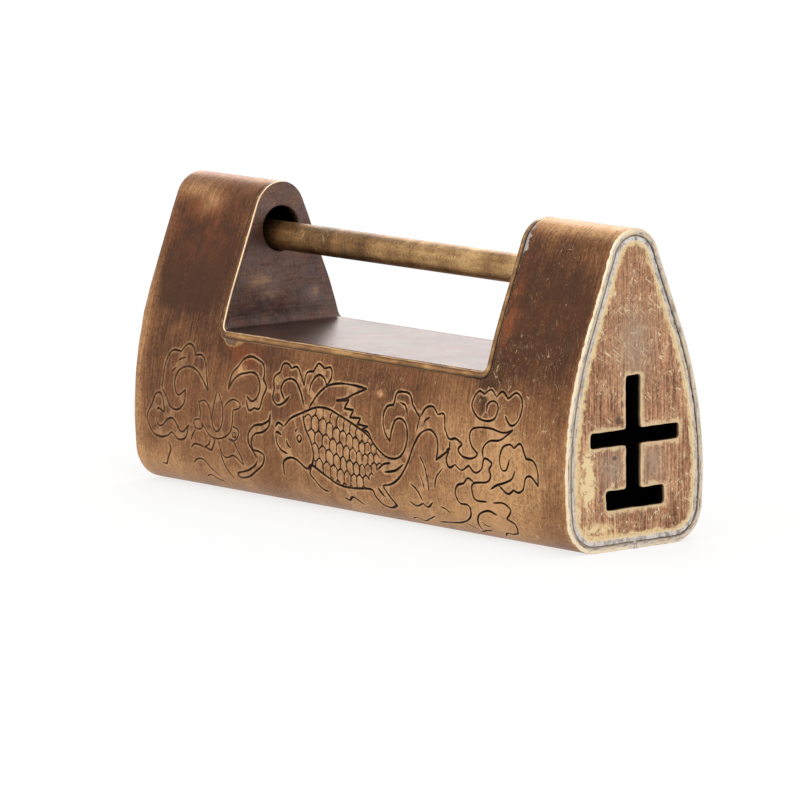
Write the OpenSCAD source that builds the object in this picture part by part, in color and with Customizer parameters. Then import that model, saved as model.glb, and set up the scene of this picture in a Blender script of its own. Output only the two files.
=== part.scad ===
// Antique broad lock: a slide-bolt padlock of brass sheet, held shut by splayed leaf springs.
// The origin is at the bottom centre. +X points to the keyhole end, -Y to the engraved front.

/* [Case] */
// Length of the case, end to end
case_l = 92; // [78:1:140]
// Height of the case, from its bottom to its ridge
case_h = 42.5; // [40:0.5:60]
// Width of the case at its belly
case_w = 24.2; // [20:0.2:29]
// Thickness of the wrapped sheet
sheet_t = 1; // [0.7:0.05:1.4]
// Outer radius of the ridge along the top
ridge_r = 4.4; // [4:0.1:5.6]
// Outer radius of the corners along the bottom
corner_r = 5; // [3:0.25:7]
// Height of the widest line of the belly
belly_z = 9.6; // [7.5:0.1:11]
// Lean of the flat flanks off upright, in degrees
flank_lean = 21.5; // [20.5:0.25:24]
// Width of the soldered seam under the case
seam_w = 0.6; // [0.3:0.1:1.5]

/* [Shackle gap] */
// Length of the gap between the two ears
gap_l = 55.8; // [40:0.2:60]
// Depth of the gap below the ridge
gap_depth = 19.8; // [16:0.2:21]
// Thickness of the folded strip that lines the gap
lining_t = 1; // [0.7:0.05:1.4]
// Inner radius of the lining's two bends
bend_r = 0.8; // [0.4:0.1:2]

/* [Shackle bar] */
// Radius of the bar
bar_r = 2; // [1.5:0.1:2.6]
// Radius of the holes that the bar slides through
hole_r = 3.1; // [2.8:0.1:3.4]
// Depth of the left ear's hole centre below the ridge
hole_drop = 6.5; // [5.5:0.25:8]
// How much lower the hole in the right ear sits
right_hole_sag = 0.5; // [0:0.1:1]
// Gap under the bar in the left ear's hole
bar_gap = 0.1; // [0.05:0.05:0.3]
// Reach of the bar's tip past the gap, into the right ear
bar_reach = 4.1; // [2:0.1:12]
// Chamfer at the bar's tip
bar_chamfer = 0.5; // [0.2:0.1:1]

/* [Keyhole end] */
// Thickness of the keyhole plate
plate_t = 1.6; // [1:0.1:3]
// Width of the solder ring round the keyhole plate
solder_w = 0.85; // [0.4:0.05:1.2]
// Length of the keyhole's long crossbar
long_bar_l = 15.4; // [12:0.2:16]
// Opening of the long crossbar
long_bar_w = 2; // [1.4:0.1:3]
// Height of the long crossbar's centre
long_bar_z = 15; // [13:0.25:17]
// Length of the keyhole's short crossbar
short_bar_l = 10.1; // [7:0.1:11]
// Opening of the short crossbar
short_bar_w = 2.5; // [1.4:0.1:3]
// Height of the short crossbar's centre
short_bar_z = 6.8; // [5.5:0.1:8]
// Opening of the keyhole's upright stroke
stroke_w = 2.5; // [1.6:0.1:3.4]
// Height of the upright stroke's top
stroke_top = 23.1; // [19:0.1:26]
// Sideways shift of the upright stroke
stroke_shift = -0.3; // [-1:0.1:1]
// Radius of the keyhole's corners
keyhole_r = 0.5; // [0.2:0.1:0.6]

/* [Bolt] */
// Thickness of the sliding end plate
end_plate_t = 2; // [1.2:0.1:3]
// Clearance round the end plate in the case's mouth
end_clear = 0.3; // [0.15:0.05:0.5]
// Thickness of the fixed stop plate behind it
stop_t = 1.5; // [1:0.1:3]
// Height of the spring stems' centre line
stem_z = 11; // [10:0.25:12]
// Height of each stem
stem_h = 2; // [1.4:0.1:2.4]
// Width of each stem and of its leaves
stem_w = 2.2; // [1.6:0.1:2.6]
// Space between the two stems
stem_gap = 4.4; // [3.6:0.1:6]
// Distance of the stem tips from the keyhole end
stem_setback = 26; // [16:0.5:34]
// Radius of the tenons riveted through the end plate
tenon_r = 0.9; // [0.5:0.05:1]

/* [Leaf springs] */
// Thickness of each leaf
leaf_t = 0.4; // [0.25:0.05:0.6]
// Rise of each leaf's free end off its stem
leaf_splay = 4; // [3:0.1:5]
// Flat length of each leaf at its riveted end
leaf_seat = 6; // [4.5:0.25:10]
// Clearance between the free ends and the stop plate
leaf_end_gap = 0.3; // [0.2:0.05:0.8]
// Radius of the rivets through the stem tips
rivet_r = 0.6; // [0.4:0.05:0.75]
// Radius of the rivet heads
rivet_head_r = 0.95; // [0.8:0.05:1.05]
// Height of the rivet heads
rivet_head_h = 0.3; // [0.2:0.05:0.4]
// Room round the squeezed springs in the stop plate's window
window_clear = 1.3; // [0.8:0.1:1.5]
// Room beside the stems in the stop plate's window
window_side = 0.5; // [0.3:0.1:1]

/* [Hidden] */
$fn = 48;
ridge_steps = 8;
belly_steps = 6;
corner_steps = 8;
bend_steps = 6;
leaf_steps = 10;
leaf_curve = 1.3;
over = 1;
left_end = -case_l / 2;
right_end = case_l / 2;

// Centres and radius of the arcs of the pear-shaped section, in (y, z)
ridge_z = case_h - ridge_r;
flank_d = ridge_z * sin(flank_lean) + ridge_r;
belly_r = (flank_d - case_w / 2 * cos(flank_lean) - belly_z * sin(flank_lean)) / (1 - cos(flank_lean));
belly_y = case_w / 2 - belly_r;
corner_y = sqrt(pow(belly_r - corner_r, 2) - pow(belly_z - corner_r, 2)) + belly_y;
corner_turn = atan2(corner_r - belly_z, corner_y - belly_y);

// Heights of the gap's floor, of the holes and of the bar
floor_z = case_h - gap_depth;
hole_z = case_h - hole_drop;
right_hole_z = hole_z - right_hole_sag;
bar_z = hole_z - hole_r + bar_r + bar_gap;

// Faces of the plates and ends of the bolt's members, along X
end_face = left_end + end_plate_t;
stop_face = end_face + stop_t;
stem_tip = right_end - stem_setback;
bar_tip = gap_l / 2 + bar_reach;
leaf_end = stop_face + leaf_end_gap;
leaf_bend = stem_tip - leaf_seat;
rivet_x = stem_tip - leaf_seat / 2;
stem_mid = (stem_gap + stem_w) / 2;
window_h = stem_h + 2 * (leaf_t + rivet_head_h + window_clear);
window_w = stem_gap + 2 * (stem_w + window_side);

// Points of an arc of n steps round the centre c, from angle a0 to a1
function arc(c, r, a0, a1, n) =
    [for (i = [0:n]) let (a = a0 + (a1 - a0) * i / n) [c[0] + r * cos(a), c[1] + r * sin(a)]];

// All but the first point of a list, where two arcs share that point
function tail(p) = [for (i = [1:len(p) - 1]) p[i]];

// Back half of the case's section, set in by d from the outside, from ridge to bottom
function half_section(d) = concat(
    arc([0, ridge_z], ridge_r - d, 90, flank_lean, ridge_steps),
    arc([belly_y, belly_z], belly_r - d, flank_lean, 0, belly_steps),
    tail(arc([belly_y, belly_z], belly_r - d, 0, corner_turn, belly_steps)),
    tail(arc([corner_y, corner_r], corner_r - d, corner_turn, -90, corner_steps)));

// The same points on the front half, without the ridge point that both halves share
function mirrored(p) = [for (i = [len(p) - 1:-1:1]) [-p[i][0], p[i][1]]];

module section(d) polygon(concat(half_section(d), mirrored(half_section(d))));

module along_x(x0, x1) translate([x0, 0, 0]) rotate([90, 0, 90]) linear_extrude(x1 - x0) children();

module along_y(y0, y1) translate([0, y1, 0]) rotate([90, 0, 0]) linear_extrude(y1 - y0) children();

module rod_x(x0, x1, z, r) translate([x0, 0, z]) rotate([0, 90, 0]) cylinder(h = x1 - x0, r = r);

// Outline of the gap grown by d, with rounded lower corners of radius r
module gap_outline(d, r) {
    x = gap_l / 2 + d;
    z = floor_z - d;
    polygon(concat(
        [[x, case_h + over]],
        arc([x - r, z + r], r, 0, -90, bend_steps),
        arc([r - x, z + r], r, -90, -180, bend_steps),
        [[-x, case_h + over]]));
}

// Wrapped sheet, open at both ends, cut out for the gap and slit where its edges meet
module case_shell() color([0.42, 0.28, 0.15]) difference() {
    along_x(left_end, right_end) difference() {
        section(0);
        section(sheet_t);
    }
    along_y(-case_w, case_w) gap_outline(lining_t, bend_r + lining_t);
    translate([left_end - over, -seam_w / 2, -over]) cube([case_l + 2 * over, seam_w, sheet_t + 2 * over]);
}

// Strip folded into a U: two ear walls and the floor, trimmed flush with the case
module notch_lining() color([0.46, 0.31, 0.17]) difference() {
    intersection() {
        along_x(-gap_l / 2 - lining_t, gap_l / 2 + lining_t) section(0);
        along_y(-case_w, case_w) difference() {
            gap_outline(lining_t, bend_r + lining_t);
            gap_outline(0, bend_r);
        }
    }
    rod_x(-gap_l / 2 - lining_t - over, over - gap_l / 2, hole_z, hole_r);
    rod_x(gap_l / 2 - over, gap_l / 2 + lining_t + over, right_hole_z, hole_r);
}

// Rectangle with rounded corners, centred on (y, z)
module rounded_slot(y, z, w, h) translate([y, z]) {
    square([w, h - 2 * keyhole_r], center = true);
    square([w - 2 * keyhole_r, h], center = true);
    for (side = [-1, 1], end = [-1, 1])
        translate([side * (w / 2 - keyhole_r), end * (h / 2 - keyhole_r)]) circle(r = keyhole_r);
}

// Plate that closes the right end, pierced by two crossbars and an upright stroke
module keyhole_plate() color([0.55, 0.36, 0.2]) {
    stroke_bottom = short_bar_z - short_bar_w / 2;
    along_x(right_end - plate_t, right_end) difference() {
        section(sheet_t + solder_w);
        rounded_slot(0, long_bar_z, long_bar_l, long_bar_w);
        rounded_slot(0, short_bar_z, short_bar_l, short_bar_w);
        rounded_slot(stroke_shift, (stroke_top + stroke_bottom) / 2, stroke_w, stroke_top - stroke_bottom);
    }
}

// Ring of solder between the keyhole plate and the sheet
module keyhole_plate_solder() color([0.5, 0.49, 0.46]) along_x(right_end - plate_t, right_end) difference() {
    section(sheet_t);
    section(sheet_t + solder_w);
}

// Solder that fills the slit where the sheet's edges meet
module bottom_seam_solder() color([0.5, 0.49, 0.46])
    translate([left_end, -seam_w / 2, 0]) cube([case_l, seam_w, sheet_t]);

// Fixed plate inside the left end, which the free ends of the springs catch behind
module spring_stop_plate() color([0.5, 0.36, 0.2]) difference() {
    along_x(end_face, stop_face) section(sheet_t);
    translate([end_face - over, -window_w / 2, stem_z - window_h / 2])
        cube([stop_t + 2 * over, window_w, window_h]);
    rod_x(end_face - over, stop_face + over, hole_z, hole_r);
}

// Sliding plate that closes the left end, with holes for the riveted tenons
module bolt_end_plate() color([0.48, 0.32, 0.18]) difference() {
    along_x(left_end, end_face) section(sheet_t + end_clear);
    rod_x(left_end - over, end_face + over, bar_z, tenon_r);
    for (side = [-1, 1])
        translate([0, side * stem_mid, 0]) rod_x(left_end - over, end_face + over, stem_z, tenon_r);
}

// Round bar with a tenon at the end plate and a chamfered tip
module shackle_bar() color([0.6, 0.43, 0.22]) {
    rod_x(left_end, end_face + over, bar_z, tenon_r);
    rod_x(end_face, bar_tip - bar_chamfer, bar_z, bar_r);
    translate([bar_tip - bar_chamfer, 0, bar_z]) rotate([0, 90, 0])
        cylinder(h = bar_chamfer, r1 = bar_r, r2 = bar_r - bar_chamfer);
}

// Square prong of the bolt, with a tenon at one end and a rivet hole at the other
module spring_stem(side) color([0.58, 0.42, 0.22]) translate([0, side * stem_mid, 0]) difference() {
    union() {
        rod_x(left_end, end_face + over, stem_z, tenon_r);
        translate([end_face, -stem_w / 2, stem_z - stem_h / 2]) cube([stem_tip - end_face, stem_w, stem_h]);
    }
    translate([rivet_x, 0, stem_z - stem_h]) cylinder(h = 2 * stem_h, r = rivet_r);
}

// Rise of a leaf off its stem at x, from its bend to its free end
function leaf_rise(x) = leaf_splay * pow((leaf_bend - x) / (leaf_bend - leaf_end), leaf_curve);

// Leaf spring on the top (up = 1) or the bottom (up = -1) of a stem
module leaf_spring(side, up) color([0.62, 0.46, 0.24])
    translate([0, side * stem_mid, stem_z]) mirror([0, 0, up > 0 ? 0 : 1]) translate([0, 0, stem_h / 2])
        difference() {
            xs = [for (i = [0:leaf_steps]) leaf_bend + (leaf_end - leaf_bend) * i / leaf_steps];
            along_y(-stem_w / 2, stem_w / 2) polygon(concat(
                [[stem_tip, leaf_t], [stem_tip, 0]],
                [for (x = xs) [x, leaf_rise(x)]],
                [for (i = [leaf_steps:-1:0]) [xs[i], leaf_rise(xs[i]) + leaf_t]]));
            translate([rivet_x, 0, -over]) cylinder(h = leaf_t + 2 * over, r = rivet_r);
        }

// Rivet through a stem tip and its two leaves
module spring_rivet(side) color([0.5, 0.36, 0.2]) translate([rivet_x, side * stem_mid, stem_z]) {
    grip = stem_h / 2 + leaf_t;
    translate([0, 0, -grip]) cylinder(h = 2 * grip, r = rivet_r);
    for (z = [-grip - rivet_head_h, grip])
        translate([0, 0, z]) cylinder(h = rivet_head_h, r = rivet_head_r);
}

case_shell();
notch_lining();
keyhole_plate();
keyhole_plate_solder();
bottom_seam_solder();
spring_stop_plate();
bolt_end_plate();
shackle_bar();
spring_stem(-1);  // spring_stem_front
spring_stem(1);  // spring_stem_back
leaf_spring(-1, 1);  // leaf_spring_front_top
leaf_spring(-1, -1);  // leaf_spring_front_bottom
leaf_spring(1, 1);  // leaf_spring_back_top
leaf_spring(1, -1);  // leaf_spring_back_bottom
spring_rivet(-1);  // spring_rivet_front
spring_rivet(1);  // spring_rivet_back
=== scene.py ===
import math

import bmesh
import bpy
import numpy as np
from mathutils import Matrix, Vector, kdtree
from mathutils.geometry import delaunay_2d_cdt


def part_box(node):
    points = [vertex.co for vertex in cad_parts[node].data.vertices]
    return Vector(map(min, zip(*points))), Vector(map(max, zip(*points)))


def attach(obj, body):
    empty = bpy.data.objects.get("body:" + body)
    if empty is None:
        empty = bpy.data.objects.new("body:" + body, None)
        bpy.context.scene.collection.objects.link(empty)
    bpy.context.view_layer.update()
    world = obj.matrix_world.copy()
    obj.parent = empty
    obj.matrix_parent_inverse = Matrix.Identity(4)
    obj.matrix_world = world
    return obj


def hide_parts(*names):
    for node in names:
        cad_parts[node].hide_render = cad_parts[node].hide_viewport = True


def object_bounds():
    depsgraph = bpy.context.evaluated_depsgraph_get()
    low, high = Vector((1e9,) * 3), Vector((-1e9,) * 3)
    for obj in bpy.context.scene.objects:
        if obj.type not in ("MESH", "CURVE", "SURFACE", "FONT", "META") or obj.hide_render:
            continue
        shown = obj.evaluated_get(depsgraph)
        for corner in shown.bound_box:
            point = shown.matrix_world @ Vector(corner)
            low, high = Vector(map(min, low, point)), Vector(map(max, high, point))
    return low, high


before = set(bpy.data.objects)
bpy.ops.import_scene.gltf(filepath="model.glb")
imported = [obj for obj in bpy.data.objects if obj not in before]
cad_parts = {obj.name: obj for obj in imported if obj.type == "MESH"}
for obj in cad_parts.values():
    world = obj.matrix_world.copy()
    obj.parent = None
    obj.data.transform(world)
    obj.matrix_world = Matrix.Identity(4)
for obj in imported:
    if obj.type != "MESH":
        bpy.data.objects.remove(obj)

cad_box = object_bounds()
MM = 0.001


# ---- Camera, floor and light -------------------------------------------------------------
# The lock stands on a pale table under soft boxes. A long lens looks at it from the right,
# a little above the table, so that the engraved front and the keyhole end both show.
VIEW_AZIMUTH, VIEW_ELEVATION, VIEW_ROLL = 50.33, 8.25, -0.477
CAMERA_DISTANCE = 1.0722
AIM_SIDE, AIM_UP = -0.00148, -0.00629
LENS = 355
FLOOR_SIZE = 6
FLOOR_GAP = 0.00002
FLOOR_WHITE, FLOOR_GLOW = (0.86, 0.86, 0.86, 1), 1.08
GLOW_SHARE = 0.7
ROOM_LIGHT = 0.7


def unit(vector):
    vector = np.asarray(vector, float)
    return vector / np.linalg.norm(vector, axis=-1, keepdims=True)


azimuth, elevation, roll = (math.radians(a) for a in (VIEW_AZIMUTH, VIEW_ELEVATION, VIEW_ROLL))
back = np.array([
    math.sin(azimuth) * math.cos(elevation),
    -math.cos(azimuth) * math.cos(elevation),
    math.sin(elevation),
])
right = np.array([math.cos(azimuth), math.sin(azimuth), 0])
up = np.cross(back, right)
camera_right = math.cos(roll) * right + math.sin(roll) * up
camera_up = math.cos(roll) * up - math.sin(roll) * right
middle = np.array([0, 0, cad_box[1].z / 2])
spot = middle + back * CAMERA_DISTANCE + camera_right * AIM_SIDE + camera_up * AIM_UP

camera = bpy.data.objects.new("camera", bpy.data.cameras.new("camera"))
camera.data.lens = LENS
camera.data.clip_start, camera.data.clip_end = 0.01, 20
rotation = Matrix([camera_right, camera_up, back]).transposed().to_4x4()
camera.matrix_world = Matrix.Translation(Vector(spot)) @ rotation
bpy.context.scene.collection.objects.link(camera)
bpy.context.scene.camera = camera
bpy.context.scene.view_settings.view_transform = "Standard"


class Graph:
    """Writes a node tree line by line: each method adds one node and returns its output."""

    def __init__(self, tree):
        self.tree = tree

    def node(self, kind, sockets=None, **settings):
        made = self.tree.nodes.new("ShaderNode" + kind)
        for name, value in settings.items():
            setattr(made, name, value)
        for name, value in (sockets or {}).items():
            self.join(value, made.inputs[name])
        return made

    def join(self, value, socket):
        if isinstance(value, bpy.types.NodeSocket):
            self.tree.links.new(value, socket)
        else:
            socket.default_value = value

    def math(self, operation, *values):
        return self.node("Math", dict(enumerate(values)), operation=operation).outputs[0]

    def mix(self, share, a, b):
        return self.node("Mix", {0: share, 6: a, 7: b}, data_type="RGBA").outputs[2]

    def blend(self, value, low, high, at_low=0.0, at_high=1.0):
        """A soft step from at_low to at_high as value goes from low to high."""
        sockets = {0: value, 1: low, 2: high, 3: at_low, 4: at_high}
        return self.node("MapRange", sockets, interpolation_type="SMOOTHSTEP").outputs[0]

    def noise(self, vector, scale, detail=3.0, roughness=0.5):
        sockets = {"Vector": vector, "Scale": scale, "Detail": detail, "Roughness": roughness}
        return self.node("TexNoise", sockets).outputs[0]

    def stretch(self, vector, scales):
        return self.node("VectorMath", {0: vector, 1: scales}, operation="MULTIPLY").outputs[0]

    def attribute(self, name):
        return self.node("Attribute", attribute_name=name).outputs["Fac"]

    def axes(self, vector):
        return self.node("SeparateXYZ", {0: vector}).outputs

    def distance(self, vector, centre, scales):
        """How far a point is from a centre, with its own scale on each axis."""
        away = self.node("VectorMath", {0: vector, 1: centre}, operation="SUBTRACT").outputs[0]
        scaled = {0: self.stretch(away, scales)}
        return self.node("VectorMath", scaled, operation="LENGTH").outputs["Value"]

    def place(self):
        return self.node("TexCoord").outputs["Object"]

    def group(self, tree, sockets):
        made = self.node("Group", node_tree=tree)
        for name, value in sockets.items():
            self.join(value, made.inputs[name])
        return made.outputs


def seen_directly(graph):
    """1 for a ray from the camera, off a gloss or through glass, and 0 for the others."""
    path = graph.node("LightPath").outputs
    seen = graph.math("MAXIMUM", path["Is Camera Ray"], path["Is Glossy Ray"])
    return graph.math("MAXIMUM", seen, path["Is Transmission Ray"])


def white_world():
    world = bpy.data.worlds.new("studio")
    world.use_nodes = True
    bpy.context.scene.world = world
    graph = Graph(world.node_tree)
    background = world.node_tree.nodes["Background"]
    background.inputs["Color"].default_value = (1, 1, 1, 1)
    strength = graph.math("MULTIPLY_ADD", seen_directly(graph), 1 - ROOM_LIGHT, ROOM_LIGHT)
    graph.join(strength, background.inputs["Strength"])


def pale_floor():
    half = FLOOR_SIZE / 2
    mesh = bpy.data.meshes.new("table_top")
    z = cad_box[0].z - FLOOR_GAP
    corners = [(-half, -half, z), (half, -half, z), (half, half, z), (-half, half, z)]
    mesh.from_pydata(corners, [], [(0, 1, 2, 3)])
    floor = bpy.data.objects.new("table_top", mesh)
    bpy.context.scene.collection.objects.link(floor)
    material = bpy.data.materials.new("white_table")
    material.use_nodes = True
    graph = Graph(material.node_tree)
    material.node_tree.nodes.remove(material.node_tree.nodes["Principled BSDF"])
    matte = graph.node("BsdfDiffuse", {"Color": FLOOR_WHITE}).outputs[0]
    white = graph.node("Emission", {"Strength": FLOOR_GLOW}).outputs[0]
    share = graph.math("MULTIPLY", seen_directly(graph), GLOW_SHARE)
    surface = graph.node("MixShader", {0: share, 1: matte, 2: white}).outputs[0]
    graph.join(surface, material.node_tree.nodes["Material Output"].inputs["Surface"])
    mesh.materials.append(material)


def soft_box(name, place, size, power):
    """A square area lamp at a place in metres, turned towards the lock."""
    lamp = bpy.data.lights.new(name, "AREA")
    lamp.size, lamp.energy = size, power
    made = bpy.data.objects.new(name, lamp)
    made.location = place
    made.rotation_euler = (Vector(middle) - Vector(place)).to_track_quat("-Z", "Y").to_euler()
    bpy.context.scene.collection.objects.link(made)


white_world()
pale_floor()
soft_box("key_right", (0.75, -0.35, 0.55), 0.5, 1.7)
soft_box("fill_front", (-0.35, -0.85, 0.45), 0.6, 1.2)
soft_box("top", (0.0, 0.15, 0.9), 0.6, 1.3)
soft_box("rim_back_left", (-0.75, 0.62, 0.5), 0.45, 2.0)


# ---- Case: the wrapped brass sheet ---------------------------------------------------------
# One sheet of brass, wrapped round into a pear-shaped tube, notched for the shackle gap and
# soldered along its belly. Age has browned it, and hands have worn its arrises back to gold.
CASE_END = cad_box[1].x / MM
CASE_TOP = cad_box[1].z / MM
BELLY_HALF = cad_box[1].y / MM
SHEET = 1.0
RIDGE_R, CORNER_R = 4.4, 5.0
BELLY_Z = 9.6
LEAN = math.radians(21.5)
SEAM_HALF = 0.3
lining_low, lining_high = (np.array(corner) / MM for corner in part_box("notch_lining"))
GAP_HALF = lining_high[0] - SHEET
FLOOR_Z = lining_low[2] + SHEET
BEND_R = 0.8
SEAM_GAP = 0.1
CASE_ARRIS, NOTCH_ARRIS = 0.26, 0.06
LEFT_CORNER_R = 2.9


def arc(centre, radius, start, end, steps):
    """Points of an arc between two angles in degrees."""
    turn = np.radians(np.linspace(start, end, steps + 1))
    return np.column_stack([centre[0] + radius * np.cos(turn), centre[1] + radius * np.sin(turn)])


def half_outline():
    """Half of the case's section from the middle of its bottom to its ridge: y, z and normals."""
    ridge_z = CASE_TOP - RIDGE_R
    flank = ridge_z * math.sin(LEAN) + RIDGE_R
    reach = BELLY_HALF * math.cos(LEAN) + BELLY_Z * math.sin(LEAN)
    belly_r = (flank - reach) / (1 - math.cos(LEAN))
    belly_y = BELLY_HALF - belly_r
    rise = BELLY_Z - CORNER_R
    corner_y = math.sqrt((belly_r - CORNER_R) ** 2 - rise**2) + belly_y
    corner_turn = -math.degrees(math.atan2(rise, corner_y - belly_y))
    lean = math.degrees(LEAN)
    rows = [[0, 0, 0, -1]]
    for centre, radius, start, end in [
        ((corner_y, CORNER_R), CORNER_R, -90, corner_turn),
        ((belly_y, BELLY_Z), belly_r, corner_turn, lean),
        ((0, ridge_z), RIDGE_R, lean, 90),
    ]:
        points = arc(centre, radius, start, end, 200)
        rows.extend(np.column_stack([points, (points - centre) / radius]))
    rows = np.array(rows)
    moved = np.r_[True, np.linalg.norm(np.diff(rows[:, :2], axis=0), axis=1) > 1e-6]
    return rows[moved]


outline = half_outline()
run = np.r_[0, np.cumsum(np.linalg.norm(np.diff(outline[:, :2], axis=0), axis=1))]
GIRTH = run[-1]


def on_case(x, girth, depth):
    """The point at x, at a length round the section from the front of the seam, depth below."""
    half = np.where(girth <= GIRTH, girth, 2 * GIRTH - girth)
    side = np.where(girth <= GIRTH, -1, 1)
    y, z, across, rise = (np.interp(half, run, outline[:, k]) for k in range(4))
    return np.column_stack([x + 0 * y, side * (y - depth * across), z - depth * rise])


def half_width(z):
    return np.interp(z, outline[:, 1], outline[:, 0])


def girth_at(z, side=-1):
    """Length round the section up to a height on the front (-1) or the back (1)."""
    half = np.interp(z, outline[1:, 1], run[1:])
    return half if side < 0 else 2 * GIRTH - half


def waver(points, size, seed):
    """A slow hand-made unevenness from -1 to 1, from a few crossed waves."""
    rng = np.random.default_rng(seed)
    total = np.zeros(len(points))
    for _ in range(7):
        direction = unit(rng.normal(size=points.shape[1]))
        length = size * rng.uniform(0.6, 1.8)
        total += np.sin(points @ direction * 2 * math.pi / length + rng.uniform(0, 2 * math.pi))
    return total / 4


def stepped(loop, step):
    """A closed outline with points no further apart than a step."""
    parts = []
    for a, b in zip(loop, np.roll(loop, -1, 0)):
        count = max(1, math.ceil(np.linalg.norm(b - a) / step))
        parts.append(a + (b - a) * np.arange(count)[:, None] / count)
    return np.vstack(parts)


def left_normals(loop):
    """At each point of a closed outline, the way to its left, lengthened at corners."""
    ahead = unit(np.roll(loop, -1, 0) - loop)
    mean = unit(ahead + unit(loop - np.roll(loop, 1, 0)))
    normal = np.column_stack([-mean[:, 1], mean[:, 0]])
    return normal / np.clip((mean * ahead).sum(1), 0.5, 1)[:, None]


def outline_distance(points, loops):
    """Distance from each point to the nearest of some closed outlines."""
    start = np.vstack(loops)
    way = np.vstack([np.roll(loop, -1, 0) - loop for loop in loops])
    length = (way**2).sum(1)
    nearest = []
    for block in np.array_split(points, max(1, len(points) // 1000)):
        offset = block[:, None] - start
        along = np.clip((offset * way).sum(2) / length, 0, 1)
        gap = offset - along[..., None] * way
        nearest.append(np.sqrt((gap**2).sum(2).min(1)))
    return np.concatenate(nearest)


def inside(points, loops):
    """Whether each point lies within the first outline and in none of the others."""
    ax, ay = np.vstack(loops).T
    bx, by = np.vstack([np.roll(loop, -1, 0) for loop in loops]).T
    slope = (bx - ax) / np.where(by == ay, 1, by - ay)
    found = []
    for block in np.array_split(points, max(1, len(points) // 2000)):
        px, py = block[:, :1], block[:, 1:]
        crossing = ((ay > py) != (by > py)) & (px < ax + (py - ay) * slope)
        found.append(crossing.sum(1) % 2 == 1)
    return np.concatenate(found)


def lattice(loops, pitch, clear):
    """Staggered points over the outlined area, at least a clear distance inside its edge."""
    low, high = loops[0].min(0), loops[0].max(0)
    u = np.arange(low[0], high[0], pitch)
    v = np.arange(low[1], high[1], pitch * 0.87)
    grid_u, grid_v = np.meshgrid(u, v)
    grid_u[1::2] += pitch / 2
    points = np.column_stack([grid_u.ravel(), grid_v.ravel()])
    points = points[inside(points, loops)]
    return points[outline_distance(points, loops) > clear]


def fill(loops, points):
    """Triangles over the outlined area. Returns its points, its faces and where each loop went."""
    flat = np.vstack([*loops, points])
    edges, first = [], 0
    for loop in loops:
        edges += [(first + i, first + (i + 1) % len(loop)) for i in range(len(loop))]
        first += len(loop)
    made = delaunay_2d_cdt([Vector(p) for p in flat], edges, [], 0, 1e-5)
    flat = np.array([tuple(p) for p in made[0]])
    where = {source: i for i, sources in enumerate(made[3]) for source in sources}
    faces = np.array(made[2])
    faces = faces[inside(flat[faces].mean(1), loops)]
    used, faces = np.unique(faces, return_inverse=True)
    order = {old: new for new, old in enumerate(used)}
    rims, first = [], 0
    for loop in loops:
        rims.append(np.array([order[where[first + i]] for i in range(len(loop))]))
        first += len(loop)
    return flat[used], faces.reshape(-1, 3), rims


SHARP_ANGLE = 50


def build(name, points, faces, fields):
    """A smooth mesh piece from points in millimetres, with named numbers at its points."""
    mesh = bpy.data.meshes.new(name)
    mesh.from_pydata((np.asarray(points) * MM).tolist(), [], [list(map(int, f)) for f in faces])
    shape = bmesh.new()
    shape.from_mesh(mesh)
    bmesh.ops.recalc_face_normals(shape, faces=shape.faces)
    shape.to_mesh(mesh)
    shape.free()
    for label, values in fields.items():
        attribute = mesh.attributes.new(label, "FLOAT", "POINT")
        attribute.data.foreach_set("value", np.asarray(values, np.float32))
    mesh.shade_smooth()
    mesh.set_sharp_from_angle(angle=math.radians(SHARP_ANGLE))
    piece = bpy.data.objects.new(name, mesh)
    bpy.context.scene.collection.objects.link(piece)
    return piece


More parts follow.
